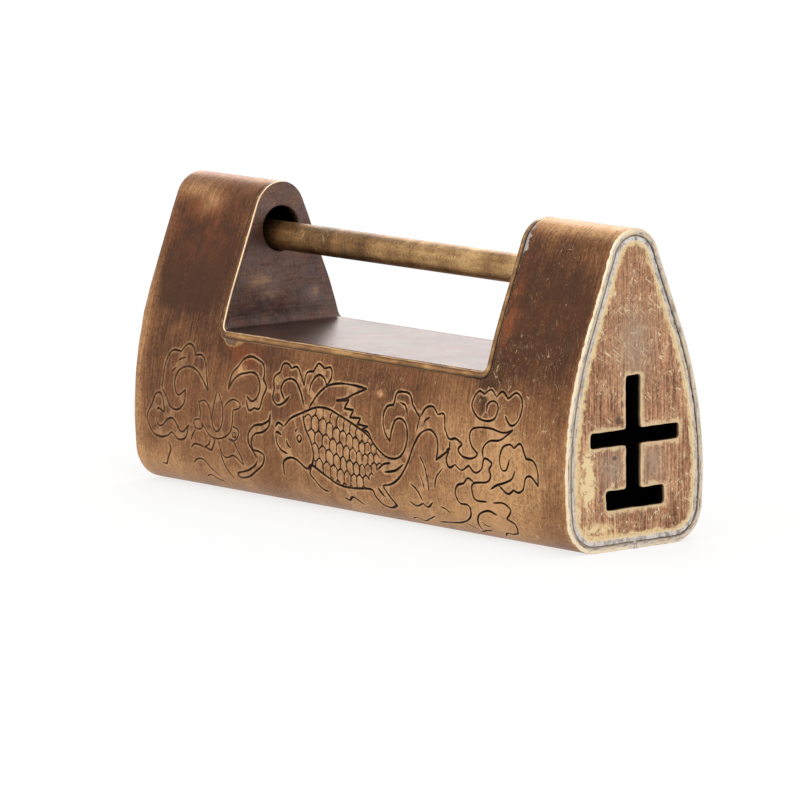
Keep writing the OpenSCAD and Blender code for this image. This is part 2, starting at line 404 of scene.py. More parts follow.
def make_sheet(name, loops, place, thickness, arrises, pitch, details=(), cut=None, fields=None):
    """A sheet with worn arrises, drawn flat and then wrapped: place() takes a flat point and a
    depth. Outlines run with the metal on their left. The numbers kept at its points are edge,
    the distance to the nearest arris, depth, round, the second flat coordinate, inside, 1 on the
    hidden face, and what fields() adds."""
    rings = [
        loop + left_normals(loop) * arris * (1 - math.cos(math.radians(turn)))
        for loop, arris in zip(loops, arrises)
        for turn in (30, 60, 90)
    ]
    inner_points = lattice(loops, pitch, max(arrises) + pitch * 0.4)
    if len(details):
        tree = kdtree.KDTree(len(details))
        for i, point in enumerate(details):
            tree.insert((*point, 0), i)
        tree.balance()
        free = [tree.find((*p, 0))[2] > 0.3 for p in inner_points]
        inner_points = np.vstack([inner_points[free], details])
    flat, faces, rims = fill(loops, np.vstack([*rings, inner_points]))
    gaps = np.array([outline_distance(flat, [loop]) for loop in loops])
    depth = np.zeros(len(flat))
    for gap, arris in zip(gaps, arrises):
        radius = arris * (1 + 0.3 * waver(flat, 4.0, 3))
        left = np.clip(radius - gap, 0, None)
        depth = np.maximum(depth, radius - np.sqrt(np.clip(radius**2 - left**2, 0, None)))
    gap = gaps.min(0)
    extra = {}
    if cut:
        cut_depth, extra["cut"] = cut(flat)
        depth = depth + cut_depth
    hidden, hidden_faces, hidden_rims = fill(loops, lattice(loops, pitch * 3, pitch))

    flats, depths = [flat, hidden], [depth, np.full(len(hidden), thickness)]
    edge = [gap, outline_distance(hidden, loops)]
    inner = [np.zeros(len(flat)), np.ones(len(hidden))]
    all_faces = [*faces, *(hidden_faces + len(flat))]
    count = len(flat) + len(hidden)
    for loop, arris, outer, under in zip(loops, arrises, rims, hidden_rims):
        flats.append(loop)
        depths.append(np.full(len(loop), (arris + thickness) / 2))
        edge.append(np.full(len(loop), (thickness - arris) / 2))
        inner.append(np.zeros(len(loop)))
        rows = [outer, count + np.arange(len(loop)), under + len(flat)]
        for above, below in zip(rows, rows[1:]):
            quads = [above, np.roll(above, -1), np.roll(below, -1), below]
            all_faces.extend(np.column_stack(quads))
        count += len(loop)
    flats, depths = np.vstack(flats), np.concatenate(depths)
    points = place(flats[:, 0], flats[:, 1], depths)
    numbers = {"edge": np.concatenate(edge), "inside": np.concatenate(inner), "depth": depths,
               "round": flats[:, 1]}
    for label, values in extra.items():
        numbers[label] = np.r_[values, np.full(count - len(values), 1.5)]
    if fields:
        numbers |= fields(points)
    return build(name, points, all_faces, numbers)


def notch_loop(grow, corner_r, left_corner_r):
    """The gap's outline on the unwrapped sheet, grown by some width, as one closed loop."""
    x, z = GAP_HALF + SHEET + grow, FLOOR_Z - SHEET - grow
    halves = []
    for side, left_r in ((-1, left_corner_r), (1, corner_r)):
        left = arc((left_r - x, z + left_r), left_r, 180, 270, 8)
        right_part = arc((x - corner_r, z + corner_r), corner_r, 270, 360, 6)
        points = np.vstack([left, right_part])
        halves.append(np.column_stack([points[:, 0], girth_at(points[:, 1], side)]))
    return stepped(np.vstack([halves[0], halves[1][::-1]]), 0.45)[::-1]


# Engraved ornament of the front: a carp among clouds, waves and lotus. Each line is given by
# (x, z) on the panel, the x from the middle and the z from the table, and a point that is
# given twice makes a sharp turn.
LEFT_CLOUDS = [
    [(-39.8, 13.5), (-39.5, 16.5), (-39, 18), (-38, 19), (-36.2, 19), (-36.2, 19), (-35.5, 19.8),
     (-34.6, 20.2), (-33.6, 19.8), (-33.1, 18.8), (-33.1, 18.8), (-31.5, 18.9), (-30.6, 17.9),
     (-30.1, 16.2), (-29.6, 14.3), (-30.3, 15), (-31.2, 15.9), (-32.3, 16.7), (-33.6, 17.1),
     (-35, 17), (-36.2, 16.4), (-36.9, 15.4), (-37, 14.2), (-36.5, 13.2), (-35.9, 13),
     (-34.5, 13.9), (-34.5, 13.9), (-34.6, 12.4), (-35.3, 11.4), (-36.3, 10.9), (-37.4, 11),
     (-38.2, 11.5), (-38.8, 12.6), (-39.8, 13.5)],
    [(-36.6, 17.7), (-35.8, 18.1), (-34.9, 18.3)],
    [(-37.8, 16.1), (-37, 16.7)],
    [(-33.7, 9.1), (-34.2, 7.6), (-35, 6.9), (-36.3, 6.8), (-37.5, 7.6), (-38.4, 7.1), (-40, 6.7),
     (-41.8, 7.1), (-42.8, 8.4), (-42.9, 9.6), (-41.9, 11.2), (-41.9, 11.2), (-41.2, 12.5),
     (-40.4, 12.9), (-39.6, 12.3), (-39.2, 10.4), (-40.4, 10.7), (-40.9, 10.4)],
    [(-41, 9.1), (-40.5, 8.3), (-39.6, 8.4), (-38.5, 9.3), (-37.5, 9.6), (-36.7, 9.2),
     (-35.8, 8.1), (-34.9, 8), (-33.7, 9.1)],
    [(-38.4, 6), (-38, 5.2), (-38.8, 3.9), (-39.6, 2.9), (-40.6, 3)],
]
LOTUS = [
    [(-31.2, 9.9), (-31.1, 11.2), (-31.5, 12.5), (-31.5, 12.5), (-30.2, 12.8), (-29.1, 11.9),
     (-28.6, 10.2)],
    [(-27.5, 14.3), (-28.1, 12.4), (-28.5, 10.6), (-28.2, 9.2), (-27.4, 8.8), (-26.5, 9.6),
     (-26.1, 11.2), (-26.5, 13), (-27.5, 14.3)],
    [(-25.8, 12.3), (-25.2, 13), (-24, 13.6), (-22.6, 13.3), (-22.5, 12.6), (-23.9, 12.1),
     (-23.9, 12.1), (-24, 10.4), (-24.6, 9), (-26, 8.1), (-27.6, 7.8), (-29.3, 8.2),
     (-30.8, 9.8)],
    [(-31.1, 10), (-32.4, 9.9), (-32.4, 9), (-31.4, 8.7), (-30.7, 9.1), (-31.1, 10)],
    [(-24.1, 9.9), (-22.8, 9.5), (-22.8, 8.6), (-23.7, 7.9), (-24.6, 8.2)],
    [(-23.9, 9), (-23.3, 9), (-23.3, 8.5), (-23.9, 8.4), (-23.9, 9)],
    [(-32.2, 8.6), (-32.8, 7.9), (-33.3, 7)],
    [(-33.4, 5.9), (-32.6, 6.5), (-31.5, 6.5), (-30.4, 6.3)],
    [(-28.9, 7.8), (-29.3, 6.9), (-30.2, 6.3), (-30.2, 6.3), (-28.8, 6.1), (-27.9, 7.6)],
    [(-27.2, 7.7), (-26.9, 6.5), (-26.2, 5.5), (-25.2, 5.4), (-23.9, 5.8), (-21.9, 4.8),
     (-22.9, 6.6), (-23.8, 7.7), (-25, 8)],
    [(-26.9, 6), (-26.4, 4.8), (-25.5, 3.4), (-24.6, 2.2)],
    [(-33.1, 3.8), (-32, 4.5), (-30.6, 4.4), (-29.4, 3.4), (-27.8, 2.4)],
    [(-31.2, 2), (-30, 2.4), (-29, 2), (-27.8, 1.6)],
]
SCROLLS = [
    [(-25.2, 14.8), (-24.2, 16.2), (-23, 17.1), (-21.5, 17.5), (-20, 17.7), (-18.9, 17.2),
     (-18.3, 15.8), (-18.8, 14.4), (-19.9, 13.8), (-21.1, 14.4)],
    [(-25.2, 14.8), (-24.6, 17), (-23.4, 18.2), (-22.4, 19.3), (-21, 19.8), (-19.6, 19.6),
     (-18.1, 19), (-17.6, 17.8), (-17.7, 17), (-17.7, 17), (-16.9, 16), (-17.6, 14.5),
     (-17.6, 14.5), (-18.1, 13), (-19.3, 12.9), (-19.3, 12.9), (-20.4, 12.5), (-21.1, 13.8)],
    [(-15.7, 12.6), (-16, 11.6), (-17.4, 10.9), (-19.2, 10.5), (-20.4, 9.4), (-20.5, 8),
     (-19.6, 6.9), (-18.7, 6)],
    [(-15.7, 12.6), (-16, 10.8), (-17.4, 9.8), (-19, 9.4), (-19.8, 8.4), (-19.6, 7.2),
     (-18.2, 7), (-17.2, 6.5), (-17.6, 5.3), (-19, 4.3), (-21, 3.2), (-23, 2.8), (-23.4, 3.4),
     (-21.2, 4), (-19.4, 4.9), (-18.8, 5.6)],
    [(-11.7, 15.4), (-13, 14.3), (-14.3, 13.9), (-15.3, 14.6), (-15.2, 16), (-15.2, 16),
     (-15.4, 17.5), (-14.2, 18.4), (-14.2, 18.4), (-13.8, 19.5), (-12.7, 19.6), (-12, 19.1),
     (-12, 19.1), (-10.8, 19.4), (-9.8, 18.4), (-8.9, 17.1), (-8.9, 17.1), (-8.6, 18.8),
     (-7.2, 19.2), (-7.2, 19.2), (-6.4, 20.3), (-5, 19.8), (-5, 19.8), (-3.7, 20),
     (-3.3, 18.8), (-4.1, 17.6), (-4.1, 17.6), (-4.9, 18.5), (-6.1, 18.8), (-7.3, 17.7),
     (-7.7, 16.2)],
    [(-12.9, 14.8), (-13.7, 16), (-13.2, 17.2), (-11.8, 17.7), (-10.5, 17.3), (-9.4, 16),
     (-8.6, 14.5)],
]
CARP = [
    [(-7.4, 14.3), (-5.8, 16.2), (-4, 17.5), (-1.6, 18.1), (1.5, 18.2), (4.3, 18), (4.3, 18),
     (2, 17.1), (0, 16.2), (-1.8, 15.8), (-1.8, 15.8), (0.8, 16.1), (0.8, 16.1), (0, 14.9),
     (0, 14.9), (2, 14.9), (2, 14.9), (1.3, 13.8), (1.3, 13.8), (3.6, 14), (3.6, 14),
     (3, 13.1), (3, 13.1), (5.1, 13), (5.1, 13), (4, 12.5), (5.2, 12.3), (5.9, 11.6)],
    [(-12.7, 11.1), (-11.2, 12.4), (-8.8, 13.4), (-6, 14.4), (-3.5, 14.5), (-1, 13.9),
     (2.4, 12.9), (5.2, 11.8), (7.4, 10.2), (9.4, 9.3), (11.4, 9.4), (12.8, 10.4),
     (13.5, 12.2), (13.2, 14), (12.1, 14.8), (10.9, 14.5), (10.2, 13), (9.9, 11.5),
     (9.9, 11.5), (8.7, 12.8), (8.3, 14.6), (8.9, 16.1), (10.3, 16.5), (10.3, 16.5),
     (10.7, 18.1), (12, 18.4), (13.4, 18.2), (14.2, 16.9), (14.2, 16.9), (15.9, 15.4),
     (15.9, 15.4), (15.4, 13.6)],
    [(11.8, 16.9), (12.7, 16.6), (13.3, 15.5)],
    [(-14.6, 10.9), (-13.9, 11.5), (-12.7, 11.1)],
    [(-14.6, 10), (-14.1, 10.2), (-13.3, 9.9)],
    [(-14.5, 9.9), (-14.2, 8.6), (-13.4, 7.8), (-12, 7.4)],
    [(-9.4, 10.3), (-9.85, 9.8), (-9.4, 9.3), (-8.95, 9.8), (-9.4, 10.3)],
    [(-10.3, 10.6), (-9.9, 11.1)],
    [(-12.2, 9.3), (-11.9, 8.7), (-11.3, 8.3)],
    [(-8.7, 13.2), (-8.2, 11.6), (-7, 9.8), (-6.4, 8.2), (-6.6, 6.9), (-7.3, 6), (-8, 5.8)],
    [(-13, 4.4), (-12.9, 6.2), (-11.6, 6.9), (-10.1, 6.8), (-8, 5.8), (-6.9, 6.4),
     (-4.2, 5.4), (-1.5, 4.4), (1.5, 4.2), (5.6, 4.5), (6.4, 3.6), (7.4, 2.6), (9, 2.3),
     (10.6, 2.8), (10.6, 2.8), (8.1, 5.3)],
    [(7, 4.9), (8.4, 3.8)],
    [(-6.9, 6.4), (-7.3, 5.2), (-6.4, 4.4), (-5, 3.3), (-3.8, 3.1)],
    [(-0.8, 2.6), (0.2, 2.3), (1.3, 2.9), (3.1, 2)],
    [(8.2, 5.3), (10.2, 5.8), (12, 7), (13.6, 9), (15, 11.7), (16.4, 13.4), (18.2, 14),
     (19.6, 13.1), (19.9, 11.6), (19.6, 10.1), (19.6, 10.1), (22.2, 11.7)],
    [(8.7, 7.2), (11, 7.7), (12.7, 8.7)],
    [(7.4, 7.5), (8.6, 8.3), (10, 8.6)],
]
RIGHT_CLOUDS = [
    [(15.9, 15.4), (17, 16.8), (18.4, 17.1), (19.5, 16.2), (19.5, 16.2), (20.8, 16.3),
     (21.2, 14.4), (21.2, 14.4), (22.2, 13.2), (23.5, 13.4), (24.9, 12.8), (24.9, 12.8),
     (24.1, 12), (25, 11.2), (26.8, 11.1), (28, 11.8), (26.8, 12.8), (26.3, 14.2), (27.2, 15.2),
     (30.2, 15.5), (33, 15.2), (34.9, 15.7), (34.9, 15.7), (32.6, 14.2), (30.4, 13.8),
     (29.2, 12.8), (29.2, 11.5)],
    [(16.8, 14.4), (17, 15.1), (17.9, 15.6)],
    [(22.3, 13.1), (22.3, 11.8), (21.7, 10.4), (22.3, 9.4), (23.5, 9.9), (23.5, 9.9),
     (24.8, 9.3), (26.3, 10.1), (26.3, 10.1), (27.6, 9.3), (28.9, 9.9), (29.5, 11.4),
     (31, 10.9), (30.5, 10), (30.8, 9.2), (30, 8.3), (27.2, 7.8), (26.9, 6.6), (27.6, 5.6),
     (29.8, 5.6)],
    [(27.2, 8), (26.1, 8.4), (25.2, 7.6), (25.2, 7.6), (23.8, 7.1), (23.4, 5.9), (24.2, 4.8),
     (25.8, 4.7), (26.3, 3.8), (25.4, 2.7), (23, 1.9), (18.2, 1.4)],
    [(24.4, 2), (25.4, 1.6), (26.4, 1.2)],
    [(31.1, 5.6), (33.2, 5.8), (34.6, 5), (33.6, 3.7), (33.6, 3.7), (35.1, 3.1), (34.8, 1.9),
     (33.4, 1.5), (33.4, 1.5), (32.2, 1.5), (31.2, 0.9)],
    [(27.3, 0.8), (27, 2.2), (28, 3.7), (30, 4.4), (31.7, 4)],
    [(28.1, 2.6), (28.6, 2.2), (29.3, 2.1)],
    [(26.2, 0.9), (27.6, 1.3), (29.2, 1.5)],
    [(34.6, 11.8), (34, 10.4), (33, 10.3), (32.6, 11.8), (33.2, 13.3), (34.6, 13.8),
     (35.4, 13.4), (35.4, 13.4), (36.7, 14.1), (37.9, 12.3), (37.9, 12.3), (39.4, 12.1),
     (40.3, 10.8), (40.4, 8.9), (40.4, 8.9), (39, 10), (37.9, 9.7), (37.4, 8.2), (36.4, 7.6),
     (35.4, 7.8), (35.4, 7.8), (34.2, 7.2), (32.5, 8)],
    [(35.8, 10.5), (35.1, 9.3), (33.6, 8.6), (32, 8.1), (30.7, 7.4)],
    [(29.3, 17.6), (29.4, 18.6), (30.5, 19.1), (31.5, 18.5), (31.2, 17), (29.8, 16.4),
     (27.8, 16.6), (26.3, 17.9), (26.5, 19.2), (27.4, 20.1), (28.4, 19.8), (28.4, 19.8),
     (29.7, 20.5), (30.9, 19.7), (30.9, 19.7), (32, 20.5), (33.3, 19.7), (33.3, 19.7),
     (34.8, 20.6), (36.1, 19.8), (36.3, 18.2), (35.6, 16.8), (34.4, 16.3), (33.1, 17.4)],
]
WATER = [
    [(16.2, 10.2), (17.2, 8.8), (17.7, 7.2), (17.9, 5.6)],
    [(16.2, 7.6), (16.6, 6.9), (16.9, 5.9)],
    [(14, 6.3), (15.4, 5.5), (16.4, 4.2)],
    [(20.8, 9), (19.6, 7.8), (19.1, 6.2)],
    [(13.5, 3.8), (14.9, 3.3), (16.4, 3.8), (16.4, 3.8), (17.3, 3.4), (18.5, 4.2)],
    [(20, 3.8), (21, 3.6), (21.8, 3.1)],
    [(12.2, 1.1), (13.4, 1.4), (14.8, 1.1), (16.4, 1.6), (18, 2.2)],
]
LINE_HALF = 0.16
TAPER = 0.9
LINE_STEP = 0.26
DOT = [(22.35, 11.9), (21.9, 11.6)]
SCALE_W, SCALE_H = 1.65, 2.55
SCALE_ROWS, SCALE_COLUMNS = range(-3, 4), range(12)
FIRST_SCALE, LAST_SCALE = -8.4, 8.2
SCALE_CLOSING = 0.022
ROW_PITCH = 0.77
CARP_BACK = [(-8.7, 13.2), (-6, 14.2), (-3.5, 14.3), (-1, 13.7), (2.4, 12.7), (5.2, 11.5), (8.4, 9.4)]
CARP_BELLY = [(-7.2, 6.6), (-4.2, 5.6), (-1.5, 4.6), (1.5, 4.4), (4.4, 4.6), (6.6, 6.8), (8.4, 8.2)]
GILL = [(-7.3, 5.9), (-6.5, 6.8), (-6.2, 8.2), (-6.8, 9.9), (-8, 11.7), (-8.5, 13.4)]


def smooth_line(points, step):
    """A curve through the points, broken where a point is given twice."""
    points = np.array(points, float)
    breaks = [i + 1 for i in range(len(points) - 1) if np.array_equal(points[i], points[i + 1])]
    parts = []
    for stretch in np.split(points, breaks):
        if len(stretch) < 2:
            continue
        closed = np.array_equal(stretch[0], stretch[-1])
        before = stretch[-2] if closed else 2 * stretch[0] - stretch[1]
        after = stretch[1] if closed else 2 * stretch[-1] - stretch[-2]
        held = np.vstack([before, stretch, after])
        for a, b, c, d in zip(held, held[1:], held[2:], held[3:]):
            t = np.linspace(0, 1, max(2, math.ceil(np.linalg.norm(c - b) / step)), False)[:, None]
            bend = (c - a) + (2 * a - 5 * b + 4 * c - d) * t + (3 * b - a - 3 * c + d) * t**2
            parts.append(b + 0.5 * t * bend)
        parts.append(stretch[-1:])
    return np.vstack(parts)


def scale_lines():
    """The carp's scales: staggered upright cells from gill to tail, cut off at its outline."""
    back_x, back_z = np.array(CARP_BACK).T
    belly_x, belly_z = np.array(CARP_BELLY).T
    gill_x, gill_z = np.array(GILL).T
    lines = []
    for row in SCALE_ROWS:
        for column in SCALE_COLUMNS:
            place = column + row % 2 / 2
            x = FIRST_SCALE + SCALE_W * place - SCALE_CLOSING * place**2
            middle_z = (np.interp(x, back_x, back_z) + np.interp(x, belly_x, belly_z)) / 2
            shrink = np.interp(x, [-8, 2, 8], [1, 0.9, 0.6])
            z = middle_z + row * ROW_PITCH * SCALE_H * shrink
            w, h = SCALE_W / 2 - SCALE_CLOSING * place, SCALE_H * shrink / 2
            cell = [(x - w, z - h * 0.52), (x - w, z + h * 0.5), (x - w * 0.6, z + h * 0.8),
                    (x, z + h * 1.04), (x + w * 0.6, z + h * 0.8), (x + w, z + h * 0.5)]
            line = smooth_line(cell, 0.25)
            line += 0.09 * np.column_stack([waver(line, 2.6, 31), waver(line, 2.6, 32)])
            within = line[:, 1] < np.interp(line[:, 0], back_x, back_z)
            within &= line[:, 1] > np.interp(line[:, 0], belly_x, belly_z)
            within &= line[:, 0] > np.interp(line[:, 1], gill_z, gill_x)
            within &= line[:, 0] < LAST_SCALE
            cuts = np.flatnonzero(np.diff(within.astype(int))) + 1
            for stretch, kept in zip(np.split(line, cuts), np.split(within, cuts)):
                if kept.all() and len(stretch) > 2:
                    lines.append(stretch)
    return lines


def engraved_lines():
    """All lines as points on the unwrapped sheet, with the half width of the cut at each."""
    drawn = []
    for motif, weight in ((LEFT_CLOUDS, 1), (LOTUS, 0.9), (SCROLLS, 1.1), (CARP, 1.15),
                          (RIGHT_CLOUDS, 1.05), (WATER, 0.9)):
        drawn += [(smooth_line(line, LINE_STEP), weight, True) for line in motif]
    drawn += [(line, 0.85, False) for line in scale_lines()]
    drawn.append((smooth_line(DOT, LINE_STEP), 2.2, False))
    points, halves, ways = [], [], []
    for line, weight, tapered in drawn:
        flat = np.column_stack([line[:, 0], girth_at(line[:, 1])])
        way = unit(np.gradient(flat, axis=0) + 1e-9)
        along = np.r_[0, np.cumsum(np.linalg.norm(np.diff(flat, axis=0), axis=1))]
        to_end = np.minimum(along, along[-1] - along)
        taper = np.clip(0.5 + to_end / TAPER, 0, 1) if tapered else 1
        pressure = 1 + 0.18 * waver(flat, 3.5, 8)
        points.append(flat)
        ways.append(way)
        halves.append(LINE_HALF * weight * taper * pressure)
    return np.vstack(points), np.concatenate(halves), np.vstack(ways)


line_points, line_halves, line_ways = engraved_lines()
line_tree = kdtree.KDTree(len(line_points))
for number, point in enumerate(line_points):
    line_tree.insert((*point, 0), number)
line_tree.balance()


def line_details():
    """Mesh points across every engraved line, thinned where lines meet."""
    across = np.column_stack([-line_ways[:, 1], line_ways[:, 0]])
    rows = [line_points]
    for share, more in ((0.55, 0), (1, 0), (1, 0.16)):
        for side in (-1, 1):
            rows.append(line_points + side * across * (line_halves * share + more)[:, None])
    points = np.vstack(rows)
    _, first = np.unique(np.round(points / 0.075).astype(int), axis=0, return_index=True)
    return points[np.sort(first)]


def engraving(flat):
    """Depth cut into the sheet at flat points, and the distance to the edge of the cut."""
    near = [line_tree.find((*p, 0)) for p in flat]
    half = line_halves[[n[1] for n in near]]
    distance = np.array([n[2] for n in near])
    depth = 0.95 * half * (1 - np.clip(distance / half, 0, 1) ** 1.6)
    return depth, np.clip(distance - half, -0.4, 1.5)


# Where handling has changed the patina, and where light and shade are painted in: the bright spots along
# the ridges are painted highlights, the broad band along the bottom is a painted reflection of the white
# table, and the dark spots on the ear flanks are painted shade. Each spot is (x, z, reach along x, reach
# along z, amount).
WORN_AND_LIT_SPOTS = [
    (-41, 40.5, 5.0, 1.1, 0.9), (-37, 38.9, 2.4, 1.4, 1.0), (-39.5, 38, 1.6, 1.3, 0.5),
    (-22.6, 17.8, 1.0, 1.0, 1.3), (-45.6, 20, 1.6, 20, 0.9), (-4, 1.5, 60, 4.0, 0.6),
    (32, 4, 16, 4, 0.3), (32, 12, 13, 7, 0.95), (46, 20, 0.5, 40, 0.5), (0, 42.6, 60, 1.2, 0.7),
    (-20, 20.5, 7, 1.6, -0.35), (7.3, 17.6, 0.7, 0.35, 1.6), (-38, 3.5, 9, 4, 0.3),
    (-2, 9.5, 9, 5, 0.45), (-28, 9, 9, 6, 0.2), (-5, 14, 3, 1, 0.5), (37, 30, 11, 9, -0.9),
    (-37, 31, 9, 8.5, -0.95), (36, 41.7, 14, 0.9, 0.8), (29, 27, 1.6, 12, -0.9), (-38, 23, 9, 3, 0.15),
]
REDDENED = [
    (-23, 20, 4, 1.8, 1.7), (29.8, 31, 1.8, 5.5, 1.6), (-14, 18, 9, 5, 0.3),
    (38, 30, 10, 10, 0.3), (-38, 37, 9, 6, 0.8), (12, 20, 9, 2, 0.3),
]
TINNED = [(29.1, 39.6, 0.7, 2.6, 1.0)]
SCUFFED = [(36, 16, 13, 16, 0.6), (8, 19, 10, 4, 0.4), (38, 2, 12, 4, 0.5), (-30, 2, 14, 3, 0.3),
           (36, 41, 14, 3, 0.5)]


def patches(points, spots):
    """Sum of soft spots on the front, and of their fainter echo on the back."""
    total = np.zeros(len(points))
    for x, z, reach_x, reach_z, amount in spots:
        spread = ((points[:, 0] - x) / reach_x) ** 2 + ((points[:, 2] - z) / reach_z) ** 2
        total += amount * np.exp(-spread) * np.where(points[:, 1] < 1, 1, 0.5)
    return total


def case_wear_and_light(points):
    # The first number here mixes handling wear with painted highlight, painted reflection and painted
    # shade, all from the spots above.
    return {
        "rub": patches(points, WORN_AND_LIT_SPOTS),
        "red": patches(points, REDDENED),
        "tin": patches(points, TINNED),
        "scuff": 0.05 + patches(points, SCUFFED) + 0.28 * (points[:, 1] > 1),
    }


def wrapped_case():
    sheet = np.array([
        (-CASE_END, SEAM_HALF), (CASE_END, SEAM_HALF),
        (CASE_END, 2 * GIRTH - SEAM_HALF), (-CASE_END, 2 * GIRTH - SEAM_HALF),
    ])
    loops = [stepped(sheet, 0.5), notch_loop(SEAM_GAP, BEND_R + SHEET + SEAM_GAP, LEFT_CORNER_R)]
    return make_sheet("case_sheet", loops, on_case, SHEET, (CASE_ARRIS, NOTCH_ARRIS), 0.8,
                      line_details(), engraving, case_wear_and_light)


def output_sockets(tree, sockets, way):
    for name, kind in sockets.items():
        tree.interface.new_socket(name=name, in_out=way, socket_type="NodeSocket" + kind)


def node_group(name, inputs, outputs):
    """An empty group with its sockets, its graph, its inputs and its output node."""
    tree = bpy.data.node_groups.new(name, "ShaderNodeTree")
    output_sockets(tree, inputs, "INPUT")
    output_sockets(tree, outputs, "OUTPUT")
    taken = tree.nodes.new("NodeGroupInput").outputs
    return tree, Graph(tree), taken, tree.nodes.new("NodeGroupOutput").inputs


SCRATCH_WAYS = (((0.37, 0.5, 0), 260.0), ((0.37, -0.3, 0), 330.0), ((-0.9, 0.1, 0), 300.0))
COPPER_RED = (0.20, 0.060, 0.022, 1)


def hairline_group():
    """Fine stray scratches: long thin lines in three directions, broken up at random."""
    tree, graph, taken, given = node_group(
        "stray_scratches", {"Vector": "Vector", "Amount": "Float"}, {"Mask": "Float"})
    found = []
    width = graph.math("MULTIPLY_ADD", taken["Amount"], 0.024, 0.006)
    rarity = graph.math("MULTIPLY_ADD", taken["Amount"], -0.05, 0.6)
    for turn, length in SCRATCH_WAYS:
        turned = graph.node("VectorRotate", {"Vector": taken["Vector"], "Rotation": turn},
                            rotation_type="EULER_XYZ").outputs[0]
        long_way = graph.stretch(turned, (length * 7, length * 7, length * 0.3))
        field = graph.noise(long_way, 1.0, 0.0)
        thin = graph.math("ABSOLUTE", graph.math("SUBTRACT", field, 0.5))
        line = graph.blend(thin, 0.0, width, 1.0, 0.0)
        broken = graph.blend(graph.noise(turned, length * 1.5, 1.0), rarity, 0.64)
        found.append(graph.math("MULTIPLY", line, broken))
    shown = graph.math("MAXIMUM", graph.math("MAXIMUM", *found[:2]), found[2])
    shown = graph.math("MULTIPLY", shown, graph.math("MINIMUM", taken["Amount"], 0.8))
    graph.join(shown, given["Mask"])
    return tree


def edge_wear_group():
    """Bare metal along an arris, ragged, from the distance to that arris in millimetres."""
    tree, graph, taken, given = node_group(
        "edge_wear", {"Vector": "Vector", "Distance": "Float", "Width": "Float"}, {"Mask": "Float"})
    ragged = graph.noise(taken["Vector"], 700.0, 4.0, 0.7)
    reach = graph.math("MULTIPLY", taken["Width"], graph.blend(ragged, 0.3, 0.7, 0.35, 1.6))
    share = graph.math("DIVIDE", taken["Distance"], reach)
    graph.join(graph.blend(share, 0.5, 1.1, 1.0, 0.0), given["Mask"])
    return tree


